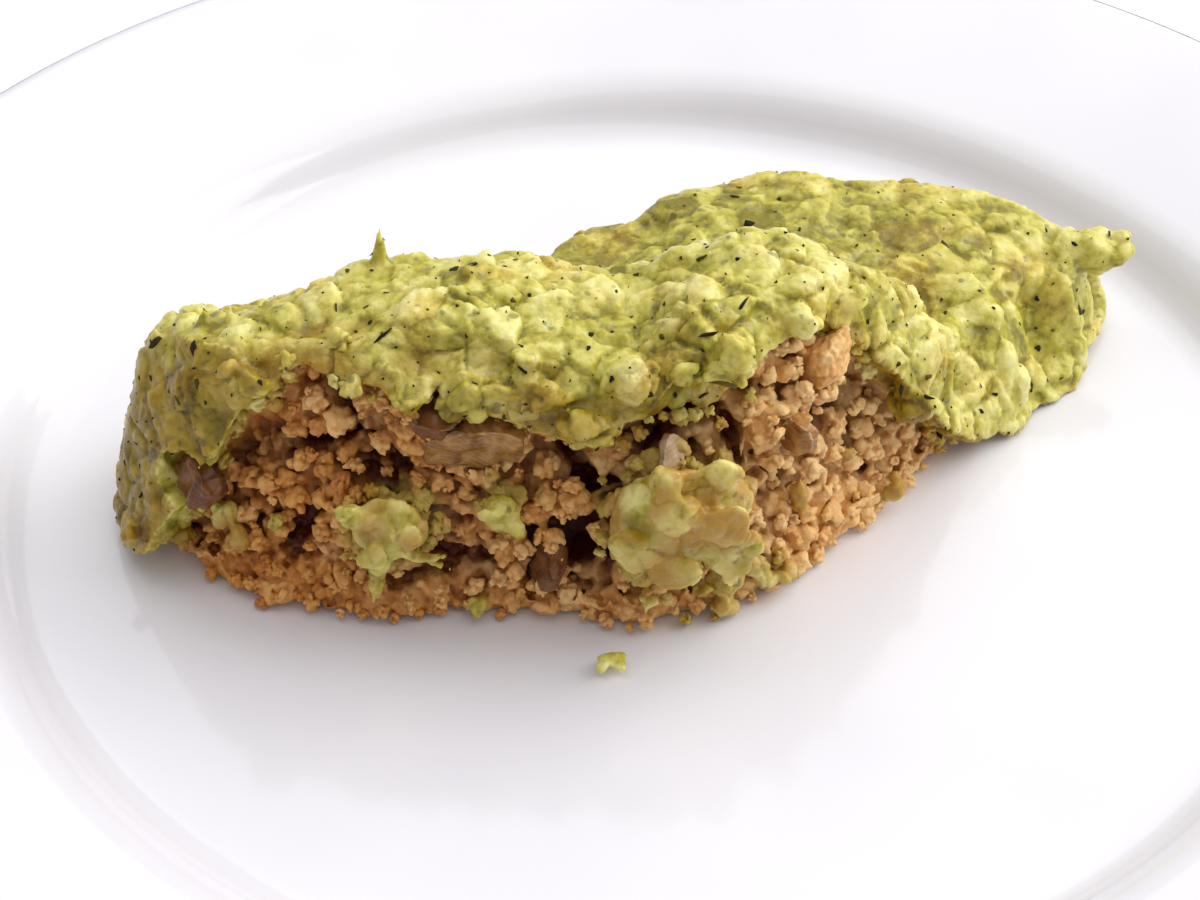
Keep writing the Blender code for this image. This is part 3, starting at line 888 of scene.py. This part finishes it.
# ---- The mash -----------------------------------------------------------------------------------
# Potato and green vegetables, roughly mashed, so it keeps flat-sided lumps of 2 to 8 mm. It was
# spread over the mince while soft, and slumped over the ends and the back of the serving.
MASH_VOXEL = 0.5 * MM
MASH_TRIANGLES = 196000
MASH_TRIM = 0.8 * MM  # how far its outline is drawn in to leave room for the lumps
LUMP_SPACING = 7.0 * MM
LUMP_RADII = (3.0 * MM, 5.0 * MM)
LUMP_PROUD = 0.6 * MM  # the most that a lump stands out
BROKEN = ((5.6 * MM, 0.85 * MM, 31),)  # size, height and seed of the broken potato
GRAINY = ((2.8 * MM, 0.28 * MM, 32), (1.4 * MM, 0.10 * MM, 33))
WISP_CLEAR = 1.6 * MM  # the surface stays smooth within this reach of a wisp
# Valleys and lobes of the spread. Each end is a share of its width and of its depth from the front,
# and the width to each side and the depth are in mm; a depth below 0 is a lobe that stands out.
FOLDS = (
    ((0.50, 0.46), (0.64, 0.50), 9, 3.5),
    ((0.64, 0.50), (0.77, 0.53), 9, 3.5),
    ((0.77, 0.43), (0.82, 0.40), 4, 2.0),
    ((0.895, 0.63), (0.92, 0.59), 4, 2.5),
    ((0.97, 0.81), (0.985, 0.76), 3, 2.5),
    ((0.845, 0.54), (0.885, 0.49), 5, -1.6),
    ((0.93, 0.69), (0.955, 0.65), 4, -1.6),
)
# Chunks that stand out of the mash's hem. Each has shares of the mash's width and height, and its
# width, depth and height in mm.
HEM_CHUNKS = (
    (0.576, 0.850, 8, 6, 11),
    (0.418, 0.793, 8, 6, 7),
    (0.385, 0.780, 7, 6, 6),
    (0.402, 0.860, 5, 5, 4),
    (0.493, 0.830, 9, 6, 7),
    (0.445, 0.715, 7, 6, 6),
    (0.468, 0.700, 6, 5, 5),
    (0.354, 0.775, 8, 6, 7),
    (0.300, 0.790, 8, 6, 6),
    (0.240, 0.760, 9, 6, 7),
    (0.160, 0.760, 9, 6, 8),
    (0.645, 0.880, 6, 5, 4),
    (0.690, 0.860, 6, 5, 4),
    (0.760, 0.420, 8, 6, 8),
)


def outer_mash(point, normal):
    """Whether this is the mash's own surface and not the side that lies on the mince or the plate."""
    if point.z < food_floor + 0.2 * MM and normal.z < -0.5:
        return False
    return mince_tree.find_nearest(point)[3] > 1.4 * MM


def trimmed(mesh, keep, trim):
    """The mesh's points and triangles, drawn in by the trim where keep says so."""
    points, normals = points_of(mesh), normals_of(mesh)
    outer = [keep(Vector(p), Vector(n)) for p, n in zip(points, normals)]
    points = points - normals * (np.array(outer) * trim)[:, None]
    points[:, 2] = np.maximum(points[:, 2], food_floor)
    return points, triangles_of(mesh)


def lumps_on(mesh, spacing, radii, proud, keep):
    """Flat-sided lumps over a mesh, each standing proud of it by a random amount up to proud."""
    spots, normals = scatter(mesh, spacing, keep)
    radius = rng.uniform(*radii, len(spots))
    rise = rng.uniform(-0.5, 1.0, len(spots)) * proud - radius
    centres = spots + normals * rise[:, None]
    centres[:, 2] = np.maximum(centres[:, 2], food_floor + radius * 0.5)
    largest = np.minimum(radius, distances(mash_tree, centres) + proud)
    sizes = largest[:, None] * rng.uniform(0.8, 1.1, (len(spots), 3))
    return heaped(angular_shapes, centres, sizes)[:2]


def spike(base, tip, radius):
    """A tapering thread of mash, drawn out as the spoon was lifted."""
    base, tip = np.array(base, dtype=float), np.array(tip, dtype=float)
    sides, steps = 8, 8
    turns = np.arange(sides) * 2 * math.pi / sides
    rings = []
    for i in range(steps):
        t = i / steps
        middle = base + (tip - base) * t
        width = radius * (1 - t) ** 0.8
        rings.append(middle + np.stack([np.cos(turns), np.sin(turns), 0 * turns], axis=1) * width)
    points = np.concatenate([*rings, [base], [tip]])
    top, bottom = len(points) - 1, len(points) - 2
    faces = []
    for side in range(sides):
        after = (side + 1) % sides
        faces.append((bottom, after, side))
        faces.append((top, (steps - 1) * sides + side, (steps - 1) * sides + after))
        for start in range(0, (steps - 1) * sides, sides):
            faces.append((start + side, start + after, start + sides + after))
            faces.append((start + side, start + sides + after, start + sides + side))
    return points, np.array(faces)


def on_top(share_x, share_y):
    """The place on top of the mash at these shares of its width and depth."""
    size = mash_high - mash_low
    start = Vector((mash_low.x + share_x * size.x, mash_low.y + share_y * size.y, 2 * mash_high.z))
    return np.array(mash_tree.ray_cast(start, Vector((0, 0, -1)))[0])


def fold(mesh, folds):
    """Presses valleys into the mash, or draws out lobes where the depth is less than 0."""
    places = points_of(mesh)
    rise = np.zeros(len(places))
    swirled = warped(places, 7 * MM, 1.2 * MM)
    for start, end, width, depth in folds:
        near = np.clip(1 - beside(swirled, start, end) / (width * MM), 0, 1)
        rise -= eased(near) * depth * MM
    push(mesh, rise)


def lift_hem(mesh, lifts):
    """Draws the mash up and back around some spots on its hem."""
    places = points_of(mesh)
    for spot, reach, rise in lifts:
        near = eased(np.clip(1.3 - np.linalg.norm(places - spot, axis=1) / (reach * MM), 0, 1))
        places = places + near[:, None] * (0, 0.25 * rise * MM, rise * MM)
    move_to(mesh, places)


def boss(tree, box, share_x, share_z, width, depth, height):
    """A lump on the front of a piece, at these shares of its box. Its sizes are in mm."""
    front, _ = front_of(tree, box, share_x, share_z)
    points, faces = angular_shapes[rng.integers(len(angular_shapes))]
    return points * (width / 2 * MM, depth / 2 * MM, height / 2 * MM) + np.array(front), faces


def crumple(mesh, scales, weight):
    """Breaks a mash surface into lumps, at scales of (size, height, seed). Returns how far the
    lumps differ, from -1 to 1."""
    places = points_of(mesh)
    rise = np.zeros(len(places))
    differ = np.zeros(len(places))
    for size, height, seed in scales:
        lump, luck = facets(places, size, seed)
        rise += height * lump
        differ += (luck[:, 1] * 2 - 1) * height
    push(mesh, rise * weight)
    return differ / sum(height for _, height, _ in scales)


# Green herb mash: starchy, moist and a little translucent. Light soaks some 2 mm into it, which
# softens the lumps, and a film of oil and water on top gives small, broken highlights. Lumps that
# stand out are painted paler as painted highlights, and the sides facing away from the window are
# painted darker as painted shade.
def mash_material():
    material, add, surface = new_material("moist_green_potato_mash")
    place = add("TexCoord").outputs["Object"]
    tone, proud, gravy, soaked = (
        add("Attribute", {"attribute_name": name}).outputs["Fac"]
        for name in ("tone", "proud", "gravy", "soaked")
    )
    lumps, grain, drift, herb = (
        add("TexNoise", inputs={"Vector": place, "Scale": 1 / (size * MM), "Detail": detail})
        for size, detail in ((3.5, 4.0), (0.8, 3.0), (11.0, 2.0), (1.9, 1.0))
    )
    speckled = add("Math", {"operation": "MULTIPLY_ADD"}, {0: grain, 1: 0.22, 2: lumps})
    toned = add("Math", {"operation": "MULTIPLY_ADD"}, {0: tone, 1: 0.25, 2: speckled})
    # Painted highlights: points that stand out of their surroundings are painted paler.
    light = add("Math", {"operation": "MULTIPLY_ADD"}, {0: proud, 1: 0.14, 2: toned})
    green = add(
        "ValToRGB",
        inputs={"Fac": light},
        stops=((0.34, "857A18"), (0.92, "EAE294"), (0.52, "B4AA3A"), (0.68, "D2C862")),
    )
    yellow = add(
        "ValToRGB", inputs={"Fac": light}, stops=((0.36, "98781A"), (0.88, "EEDA82"), (0.60, "CEB242"))
    )
    yellowing = add("MapRange", inputs={"Value": drift, "From Min": 0.50, "From Max": 0.68, "To Max": 0.7})
    mixed = add("Mix", {"data_type": "RGBA"}, {0: yellowing, 6: green, 7: yellow})
    sunken_herb = add("MapRange", inputs={"Value": herb, "From Min": 0.66, "From Max": 0.74, "To Max": 0.6})
    herbed = add("Mix", {"data_type": "RGBA"}, {0: sunken_herb, 6: mixed.outputs[2], 7: linear("6A6618")})
    # Painted shade: where 'soaked' is high the colour is multiplied darker and more amber. On the mash cover
    # that marks the sides facing away from the window; elsewhere it is patches of gravy soak.
    side_shade_and_soak = add(
        "Mix",
        {"data_type": "RGBA", "blend_type": "MULTIPLY"},
        {0: soaked, 6: herbed.outputs[2], 7: linear("C4AC4C")},
    )
    stained = add("Mix", {"data_type": "RGBA"}, {0: gravy, 6: side_shade_and_soak.outputs[2], 7: linear("B48430")})
    film = add(
        "MapRange",
        inputs={"Value": lumps, "From Min": 0.35, "From Max": 0.7, "To Min": 0.5, "To Max": 0.28},
    )
    wetness = add("MapRange", inputs={"Value": herb, "From Min": 0.45, "From Max": 0.6, "To Max": 0.3})
    shifted = add(
        "VectorMath",
        {"operation": "MULTIPLY_ADD"},
        {0: grain.outputs["Color"], 1: (0.7 * MM, 0.7 * MM, 0.7 * MM), 2: place},
    )
    curds = add("TexVoronoi", inputs={"Vector": shifted, "Scale": 1 / 0.0014})
    curd_bump = add("Bump", {"invert": True}, {"Height": curds, "Strength": 0.35, "Distance": 0.5 * MM})
    bump = add("Bump", inputs={"Height": grain, "Strength": 0.5, "Distance": 0.3 * MM, "Normal": curd_bump})
    shader = add(
        "BsdfPrincipled",
        inputs={
            "Base Color": stained.outputs[2], "Roughness": film, "Normal": bump, "IOR": 1.42,
            "Subsurface Weight": 0.5, "Subsurface Radius": (1.0, 0.85, 0.3), "Subsurface Scale": 2.0 * MM,
            "Coat Weight": wetness, "Coat Roughness": 0.22,
        },
    )
    surface(shader)
    return material


def painted_side_shade(mesh):
    """Painted shade: 1 on the steep sides by the cut that face left, front and down, away from the
    window, and 0 on top. The material paints these sides darker and more amber.
    """
    places = map(Vector, points_of(mesh).tolist())
    facing = np.array([mash_tree.find_nearest(place)[1][:] for place in places])
    return np.clip(facing @ (-0.75, -0.65, -0.35) * 1.3, 0, 1)


def finish_mash(mesh, differ, soaked, stain, triangles, name, all_over=0.0):
    """Stores how the lumps differ, with any painted light and shade added, the painted highlights on
    lumps that stand out, how soaked they are, which on the mash cover is painted side shade, and where
    gravy stains them, and makes the piece. Gravy stains patches that touch the mince, and others if
    all_over is more than 0."""
    paint(mesh, "soaked", soaked)
    paint(mesh, "tone", differ)
    paint(mesh, "proud", proudness(mesh, 8, 0.5 * MM))
    places = points_of(mesh)
    away = distances(mince_tree, places)
    swell = smooth_noise(places, 5 * MM)
    gravy = np.clip(1.2 - away / (3.0 * MM), 0, 1) * np.clip(0.8 + swell * 1.4, 0, 1) * stain
    paint(mesh, "gravy", np.maximum(gravy, np.clip(all_over + swell * 1.2, 0, 0.8) * (all_over > 0)))
    return dress(thinned(mesh, triangles), name, mash_finish)


mash_finish = mash_material()
angular_shapes = [angular_lump(26, 300 + seed) for seed in range(16)]
# Spikes on top: shares of the mash's width and depth, then lean, height and radius in mm.
WISPS = (
    (0.268, 0.318, (0.2, 0.8, 0), 5.0, 1.5),
    (0.066, 0.262, (-0.6, 0.2, 0), 2.0, 1.4),
    (0.110, 0.245, (0.3, 0.2, 0), 1.8, 1.3),
    (0.135, 0.225, (0.4, 0.2, 0), 2.2, 1.1),
)
# The lumps at the far right end, in mm: how far out, back and up from the end, and the radius.
END_LUMPS = ((1.0, 0.4, -0.8, 4.6), (5.0, 0.2, -0.5, 4.2), (8.8, 0, 0.1, 2.9))


def wisp(share_x, share_y, lean, height, radius):
    """A spike of mash on top of the spread, where it was drawn out."""
    base = on_top(share_x, share_y) - (0, 0, 1.5 * MM)
    return spike(base, base + np.array(lean) * MM + (0, 0, (height + 1.5) * MM), radius * MM)


def end_lumps():
    """The small lumps that stick out at the far right end of the mash."""
    size = mash_high - mash_low
    start = Vector((mash_high.x + size.x, mash_low.y + 0.75 * size.y, mash_low.z + 0.36 * size.z))
    root = np.array(mash_tree.ray_cast(start, Vector((-1, 0, 0)))[0])
    lumps = []
    for out, back, up, radius in END_LUMPS:
        points, faces = angular_shapes[rng.integers(len(angular_shapes))]
        middle = root + np.array((out, back, up)) * MM
        lumps.append((points * radius * MM + middle, faces))
    return lumps


mash_mesh = fused(
    "mash",
    [
        *[wisp(*row) for row in WISPS],
        trimmed(mash_outline, outer_mash, MASH_TRIM),
        lumps_on(mash_outline, LUMP_SPACING, LUMP_RADII, LUMP_PROUD, outer_mash),
        *[boss(mash_tree, (mash_low, mash_high), *row) for row in HEM_CHUNKS],
        *end_lumps(),
    ],
    MASH_VOXEL,
    3,
)
fold(mash_mesh, [(on_top(*start), on_top(*end), *sizes) for start, end, *sizes in FOLDS])
lift_hem(mash_mesh, hem_lifts)
places = points_of(mash_mesh)
away = distances(mince_tree, places)
free = np.clip(away / MM - 1, 0, 1)
behind = np.clip((places[:, 1] - 12 * MM) / (8 * MM), 0, 1)  # the far part, which is smoother
# Painted shade: the far part behind the front ridge is painted darker, fading out towards the back.
painted_shade_behind_ridge = behind * np.clip((60 * MM - places[:, 1]) / (30 * MM), 0, 1)
for share_x, share_y, *_ in WISPS:  # the drawn-out spikes stay smooth
    aside = np.linalg.norm((places - on_top(share_x, share_y))[:, :2], axis=1)
    free *= np.clip(aside / WISP_CLEAR - 1, 0, 1)
along = shares_of(mash_low, mash_high, places)[:, 0]
shaded = np.clip(-along * 12 + 1.3, 0, 1)  # the smoother flank at the left end
smooth = (1 - 0.35 * behind) * (1 - 0.4 * shaded)
large = crumple(mash_mesh, BROKEN, free * smooth)
calm = free * (1 - 0.5 * behind) * (1 - 0.5 * shaded)
fine = crumple(mash_mesh, GRAINY, calm)
# Painted light: the far right end, on the window's side, is painted paler.
lit_end = np.clip(along * 8 - 6.2, 0, 1)
# The lumps' tone, with the painted shade behind the ridge and the painted light at the right end.
differ = large * 0.6 + fine * 0.4 - painted_shade_behind_ridge * 0.7 + lit_end * 0.6
# The sides facing away from the window take painted shade.
mash_cover = finish_mash(mash_mesh, differ, painted_side_shade(mash_mesh), 0.75, MASH_TRIANGLES, "mash_cover")
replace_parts(mash_cover, "mash_topping")

# ---- Dabs of mash on the cut side ---------------------------------------------------------------
# Mash that the knife dragged down over the mince and pressed into it, and one crumb of it that fell
# on the plate.
DAB_VOXEL = 0.42 * MM
DAB_TRIANGLES = 40000
DAB_LUMPS = ((3.6 * MM, 0.36 * MM, 41), (1.8 * MM, 0.14 * MM, 42))  # size, height and seed
# Chunks of each dab: shares of its width and height, and the chunk's width, depth and height in mm.
FRONT_CHUNKS = (
    (0.20, 0.45, 8, 3, 8),
    (0.45, 0.75, 9, 3.5, 8),
    (0.75, 0.62, 8, 3, 9),
    (0.45, 0.28, 9, 3, 8),
    (0.78, 0.20, 8, 3.5, 8),
    (0.74, 0.93, 6, 3, 6),
    (0.40, 0.97, 6, 5, 4),
    (0.98, 0.30, 6, 3, 6),
)
LEFT_CHUNKS = ((0.15, 0.75, 7, 3.0, 5), (0.70, 0.60, 6, 2.4, 5), (0.35, 0.35, 6, 2.4, 5))
MIDDLE_CHUNKS = ((0.3, 0.7, 4, 2, 3), (0.8, 0.3, 4, 2, 3))
CRUMB_CHUNKS = ((0.3, 0.5, 2.6, 2.2, 2.0), (0.75, 0.5, 2.0, 2.2, 1.8))
# Mash pressed in among the mince: shares of the mince's width and height, then the width and height
# of each patch in mm.
PRESSED = (
    (0.050, 0.300, 4, 6),
    (0.100, 0.280, 6, 8),
    (0.345, 0.060, 3, 2.4),
    (0.540, 0.240, 5, 6),
    (0.583, 0.200, 9, 9),
    (0.620, 0.110, 6, 6),
    (0.655, 0.080, 4, 4),
    (0.592, 0.040, 5, 4),
    (0.512, 0.140, 3, 3),
    (0.665, 0.330, 4, 7),
    (0.770, 0.100, 5, 6),
)


def everywhere(point, normal):
    """A dab is its own surface all round."""
    return True


def dab(node, name, chunk_rows, extra=(), light=0.0, soaked=0.6, stain=0.8, all_over=0.0, smooth=11):
    """A dab of mash with soft chunks on its front, in the place of a node of the frame. Light makes it
    paler, and soaked, stain and all_over say how much gravy is in it, by the mince and anywhere."""
    outline = outline_of(node)
    low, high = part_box(node)
    size = max(high - low)
    tree = tree_of(outline)
    lumps = [boss(tree, (low, high), *row) for row in chunk_rows]
    trim = min(1.7 * MM, size * 0.09)
    mesh = fused(name, [trimmed(outline, everywhere, trim), *lumps, *extra], DAB_VOXEL, smooth)
    differ = crumple(mesh, DAB_LUMPS, min(1.0, size / (12 * MM)))
    places = points_of(mesh)
    soaked = np.clip(soaked + smooth_noise(places, 6 * MM), 0, 1)
    upper = np.clip((places[:, 2] - low.z) / (4 * MM) - 1, 0, 1)  # gravy leaves the lowest part clean
    piece = finish_mash(mesh, differ + light, soaked, stain, DAB_TRIANGLES, name, all_over * upper)
    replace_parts(piece, node)


dab("mash_dab_front", "mash_lump_on_cut_side", FRONT_CHUNKS, light=0.7, soaked=0.3, all_over=0.55, smooth=24)
smear_low, smear_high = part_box("mash_smear_left")
smear_middle = (smear_low + smear_high) / 2
front = smear_low.y + 1.2 * MM
prongs = [
    spike(
        (smear_middle.x - 1.5 * MM, front + 2 * MM, smear_low.z + 4 * MM),
        (smear_middle.x - 3 * MM, front + 1.0 * MM, smear_low.z - 6.5 * MM),
        2.2 * MM,
    ),
    spike(
        (smear_middle.x, front + 2.5 * MM, smear_low.z + 3.5 * MM),
        (smear_high.x + 2.5 * MM, front + 1.0 * MM, smear_low.z + 0.5 * MM),
        2.0 * MM,
    ),
    spike(
        (smear_high.x - 2 * MM, front + 2 * MM, smear_low.z + 2.2 * MM),
        (smear_high.x + 2.0 * MM, front + 1.0 * MM, smear_low.z + 3.4 * MM),
        1.3 * MM,
    ),
]
dab(
    "mash_smear_left",
    "mash_smear_with_drips",
    LEFT_CHUNKS,
    prongs,
    light=0.4,
    soaked=0.2,
    stain=0.5,
    all_over=0.45,
)
dab("mash_smear_middle", "mash_smear_small", MIDDLE_CHUNKS, soaked=0.6, all_over=0.4)
dab("mash_crumb", "mash_crumb_on_plate", CRUMB_CHUNKS, light=0.1, soaked=0.3, stain=0.3)


def pressed_lumps(share_x, share_z, width, height):
    """Four lumps of mash close together in the front of the mince, over a patch this wide and high."""
    size = (mince_high - mince_low) / MM
    lumps = []
    for _ in range(4):
        aside = rng.uniform(-0.3, 0.3) * width / size.x
        above = rng.uniform(-0.3, 0.3) * height / size.z
        shares = (share_x + aside, max(share_z + above, 0.03))
        sizes = (width * rng.uniform(0.45, 0.7), rng.uniform(2.6, 4.0), height * rng.uniform(0.45, 0.7))
        lumps.append(boss(mince_tree, (mince_low, mince_high), *shares, *sizes))
    return lumps


lumps = [lump for row in PRESSED for lump in pressed_lumps(*row)]
points, faces = joined(lumps)
points[:, 2] = np.maximum(points[:, 2], food_floor)
pressed = fused("pressed", [(points, faces)], DAB_VOXEL, 5)
differ = crumple(pressed, DAB_LUMPS, 1.0)
places = points_of(pressed)
soaked = np.clip(0.2 + smooth_noise(places, 6 * MM), 0, 1)
above = np.clip((places[:, 2] - food_floor) / (4 * MM) - 0.6, 0, 1)
finish_mash(pressed, differ + 0.2, soaked, 0.7, 60000, "mash_pressed_into_mince", 0.75 * above)

# Crumbs of mash, most of them by the dabs, along the mash's hem and low in front.
CRUMB_SPACING = 2.6 * MM
HEM_CRUMB_SPACING = 1.9 * MM
HEM_CRUMB_SHARE = 0.6
CRUMB_RADII = (0.8 * MM, 1.9 * MM)
BITS_LOW = (0.42, 0.66, 0.20)  # shares of the mince's width from and to, and of its height


def on_hem(point, normal):
    """Whether a place on the mash is on its visible edge by the mince."""
    if not 0.2 * MM < mince_tree.find_nearest(point)[3] < 2.0 * MM or normal.y > 0.3:
        return False
    return mince_tree.ray_cast(point + normal * 0.1 * MM, normal, 4 * MM)[0] is None


on_mince, _ = scatter(mince_outline, CRUMB_SPACING, shows)
near_dab = np.min([distances(tree, on_mince) for tree in dab_trees], axis=0)
near_hem = distances(mash_tree, on_mince)
share = shares_of(mince_low, mince_high, on_mince)
start, end, top = BITS_LOW
low_front = (share[:, 0] > start) & (share[:, 0] < end) & (share[:, 2] < top)
chance = 0.02 + 0.12 * (near_dab < 4 * MM) + 0.12 * (near_hem < 3 * MM) + 0.2 * low_front
on_edge, _ = scatter(mash_outline, HEM_CRUMB_SPACING, on_hem)
on_mince = on_mince[rng.random(len(on_mince)) < chance]
spots = np.concatenate([on_mince, on_edge[rng.random(len(on_edge)) < HEM_CRUMB_SHARE]])
radius = rng.uniform(*CRUMB_RADII, len(spots))
sizes = radius[:, None] * rng.uniform(0.7, 1.3, (len(spots), 3))
points, faces, owners = heaped(small_nuggets, spots, sizes)
bits = new_mesh("bits", points, faces)
differ = rng.uniform(-0.6, 0.8, len(spots))[owners]
soaked = np.clip(0.35 + smooth_noise(spots, 8 * MM) * 0.8, 0, 1)[owners]
finish_mash(bits, differ, soaked, 0.8, 90000, "mash_crumbs_on_cut_side")

# ---- Herbs --------------------------------------------------------------------------------------
# Dried mixed herbs stirred into the mash: flat, brittle flakes of leaf 1 to 3 mm long that have
# turned almost black, lying at all angles and half sunk in.
FLAKE_SHAPES = 12
FLAKE_SPACING = 2.6 * MM
FLAKE_LENGTHS = (0.5, 0.8, 1.2, 2.1)  # mm
LENGTH_SHARES = (0.45, 0.32, 0.18, 0.05)  # how common each length is


def flake_shape():
    """A torn, slightly curled flake about 1 long, as a thin closed slab."""
    sides = 7
    turn = np.arange(sides) * 2 * math.pi / sides + rng.uniform(-0.3, 0.3, sides)
    reach = rng.uniform(0.5, 1.0, sides) / 2
    x, y = np.cos(turn) * reach, np.sin(turn) * reach * rng.uniform(0.35, 0.8)
    z = x * x * rng.uniform(-0.5, 0.5) + rng.uniform(-0.04, 0.04, sides)
    top = np.stack([x, y, z + 0.04], axis=1)
    faces = [(0, i, i + 1) for i in range(1, sides - 1)]
    faces += [(sides, sides + i + 1, sides + i) for i in range(1, sides - 1)]
    for i in range(sides):
        j = (i + 1) % sides
        faces.append((i, i + sides, j + sides))
        faces.append((i, j + sides, j))
    return np.concatenate([top, top - (0, 0, 0.08)]), np.array(faces)


# Dried herb leaf: papery and matt, near black with a green cast where it is thin.
def herb_material():
    material, add, surface = new_material("dried_herb_leaf")
    shade = add("Attribute", {"attribute_name": "shade"}).outputs["Fac"]
    colour = add(
        "ValToRGB", inputs={"Fac": shade}, stops=((0.0, "1C180A"), (1.0, "6E6020"), (0.7, "38320F"))
    )
    place = add("TexCoord").outputs["Object"]
    veins = add("TexNoise", inputs={"Vector": place, "Scale": 1 / 0.0004, "Detail": 2.0})
    bump = add("Bump", inputs={"Height": veins, "Strength": 0.4, "Distance": 0.1 * MM})
    shader = add(
        "BsdfPrincipled", inputs={"Base Color": colour, "Roughness": 0.8, "IOR": 1.35, "Normal": bump}
    )
    surface(shader)
    return material


# The largest leaves: shares of the mash's width and height on its front, then length and width in mm.
LEAVES = (
    (0.572, 0.800, 4.4, 3.2),
    (0.062, 0.672, 2.6, 1.3),
    (0.107, 0.772, 2.4, 2.0),
    (0.109, 0.693, 1.8, 1.0),
    (0.091, 0.648, 1.6, 1.0),
    (0.276, 0.900, 3.2, 0.7),
    (0.400, 0.860, 1.8, 0.8),
    (0.560, 0.930, 3.0, 0.8),
    (0.590, 0.960, 2.6, 0.8),
    (0.745, 0.480, 2.2, 1.2),
    (0.800, 0.600, 1.8, 1.0),
    (0.120, 0.200, 2.6, 1.2),
)


def leaf(tree, share_x, share_z, length, width):
    """A large flake that lies on the front of the mash, at these shares of its width and height."""
    spot, normal = front_of(tree, (mash_low, mash_high), share_x, share_z)
    turn = normal.to_track_quat("Z", "X").to_matrix() @ Matrix.Rotation(rng.uniform(0, 6.28), 3, "Z")
    points, faces = flake_shape()
    points = points / np.ptp(points[:, :2], axis=0).max() * (length * MM, width * MM, length * MM)
    return points @ np.array(turn).T + np.array(spot + normal * 0.1 * MM), faces


def flakes_on(mesh, spacing):
    """Flakes scattered over the mash, fewer at its back, and the largest leaves."""
    shapes = [flake_shape() for _ in range(FLAKE_SHAPES)]
    keep = lambda point, normal: normal.z > -0.3 and mince_tree.find_nearest(point)[3] > 0.9 * MM
    spots, normals = scatter(mesh, spacing, keep, tries=2)
    parts = []
    for spot, normal in zip(spots, normals):
        up = Vector(normal).lerp(Vector(rng.normal(size=3)).normalized(), 0.35).normalized()
        turn = up.to_track_quat("Z", "X").to_matrix() @ Matrix.Rotation(rng.uniform(0, 6.28), 3, "Z")
        if spot[1] > 14 * MM and rng.random() < 0.5:
            continue
        length = rng.choice(FLAKE_LENGTHS, p=LENGTH_SHARES) * MM
        points, faces = shapes[rng.integers(FLAKE_SHAPES)]
        parts.append((points * length @ np.array(turn).T + spot + normal * 0.03 * MM, faces))
    tree = tree_of(mesh)
    parts += [leaf(tree, *row) for row in LEAVES]
    mesh = new_mesh("herb_flakes", *joined(parts))
    shades = rng.random(len(parts)) * 0.9
    shades[-len(LEAVES)] = 1
    paint(mesh, "shade", np.repeat(shades, [len(points) for points, _ in parts]))
    return mesh


dress(flakes_on(mash_cover.data, FLAKE_SPACING), "herb_flakes", herb_material())

# ---- Table, light and camera --------------------------------------------------------------------
# A plain white table top, daylight from a wide window behind and to the right, and white walls that
# fill the shadows.
floor_mesh = bpy.data.meshes.new("table_top")
reach = 3.0
corners = [(-reach, -reach, 0), (reach, -reach, 0), (reach, reach, 0), (-reach, reach, 0)]
floor_mesh.from_pydata(corners, [], [(0, 1, 2, 3)])
table = bpy.data.objects.new("table_top", floor_mesh)
bpy.context.scene.collection.objects.link(table)
material, add, surface = new_material("white_table_top")
surface(add("BsdfPrincipled", inputs={"Base Color": linear("F4F4F6"), "Roughness": 0.7}))
floor_mesh.materials.append(material)

world = bpy.data.worlds.new("white_room")
bpy.context.scene.world = world
world.use_nodes = True
world.node_tree.nodes["Background"].inputs["Color"].default_value = linear("FAFAFF")
world.node_tree.nodes["Background"].inputs["Strength"].default_value = 0.475


def area_light(name, place, target, size, power):
    lamp = bpy.data.lights.new(name, "AREA")
    lamp.size = size
    lamp.energy = power
    holder = bpy.data.objects.new(name, lamp)
    bpy.context.scene.collection.objects.link(holder)
    holder.location = place
    holder.rotation_euler = (Vector(target) - Vector(place)).to_track_quat("-Z", "Y").to_euler()


area_light("window", (1.02, 0.30, 0.70), (0, 0, 0.02), 1.1, 10.0)
area_light("white_ceiling", (0.30, 0.45, 1.4), (0, 0, 0.02), 2.4, 20.0)

# The viewer stands in front of the cut side and looks down at it by 41 degrees.
camera = bpy.data.cameras.new("camera")
camera.sensor_width = 36.0
camera.lens = 81.0
camera.clip_start = 0.01
viewer = bpy.data.objects.new("camera", camera)
bpy.context.scene.collection.objects.link(viewer)
eye = Vector((-0.00827, -0.2924, 0.2714))
aim = Vector((-0.00827, 0.00285, 0.0130))
viewer.location = eye
viewer.rotation_euler = (aim - eye).to_track_quat("-Z", "Y").to_euler()
bpy.context.scene.camera = viewer
bpy.context.scene.view_settings.view_transform = "Standard"
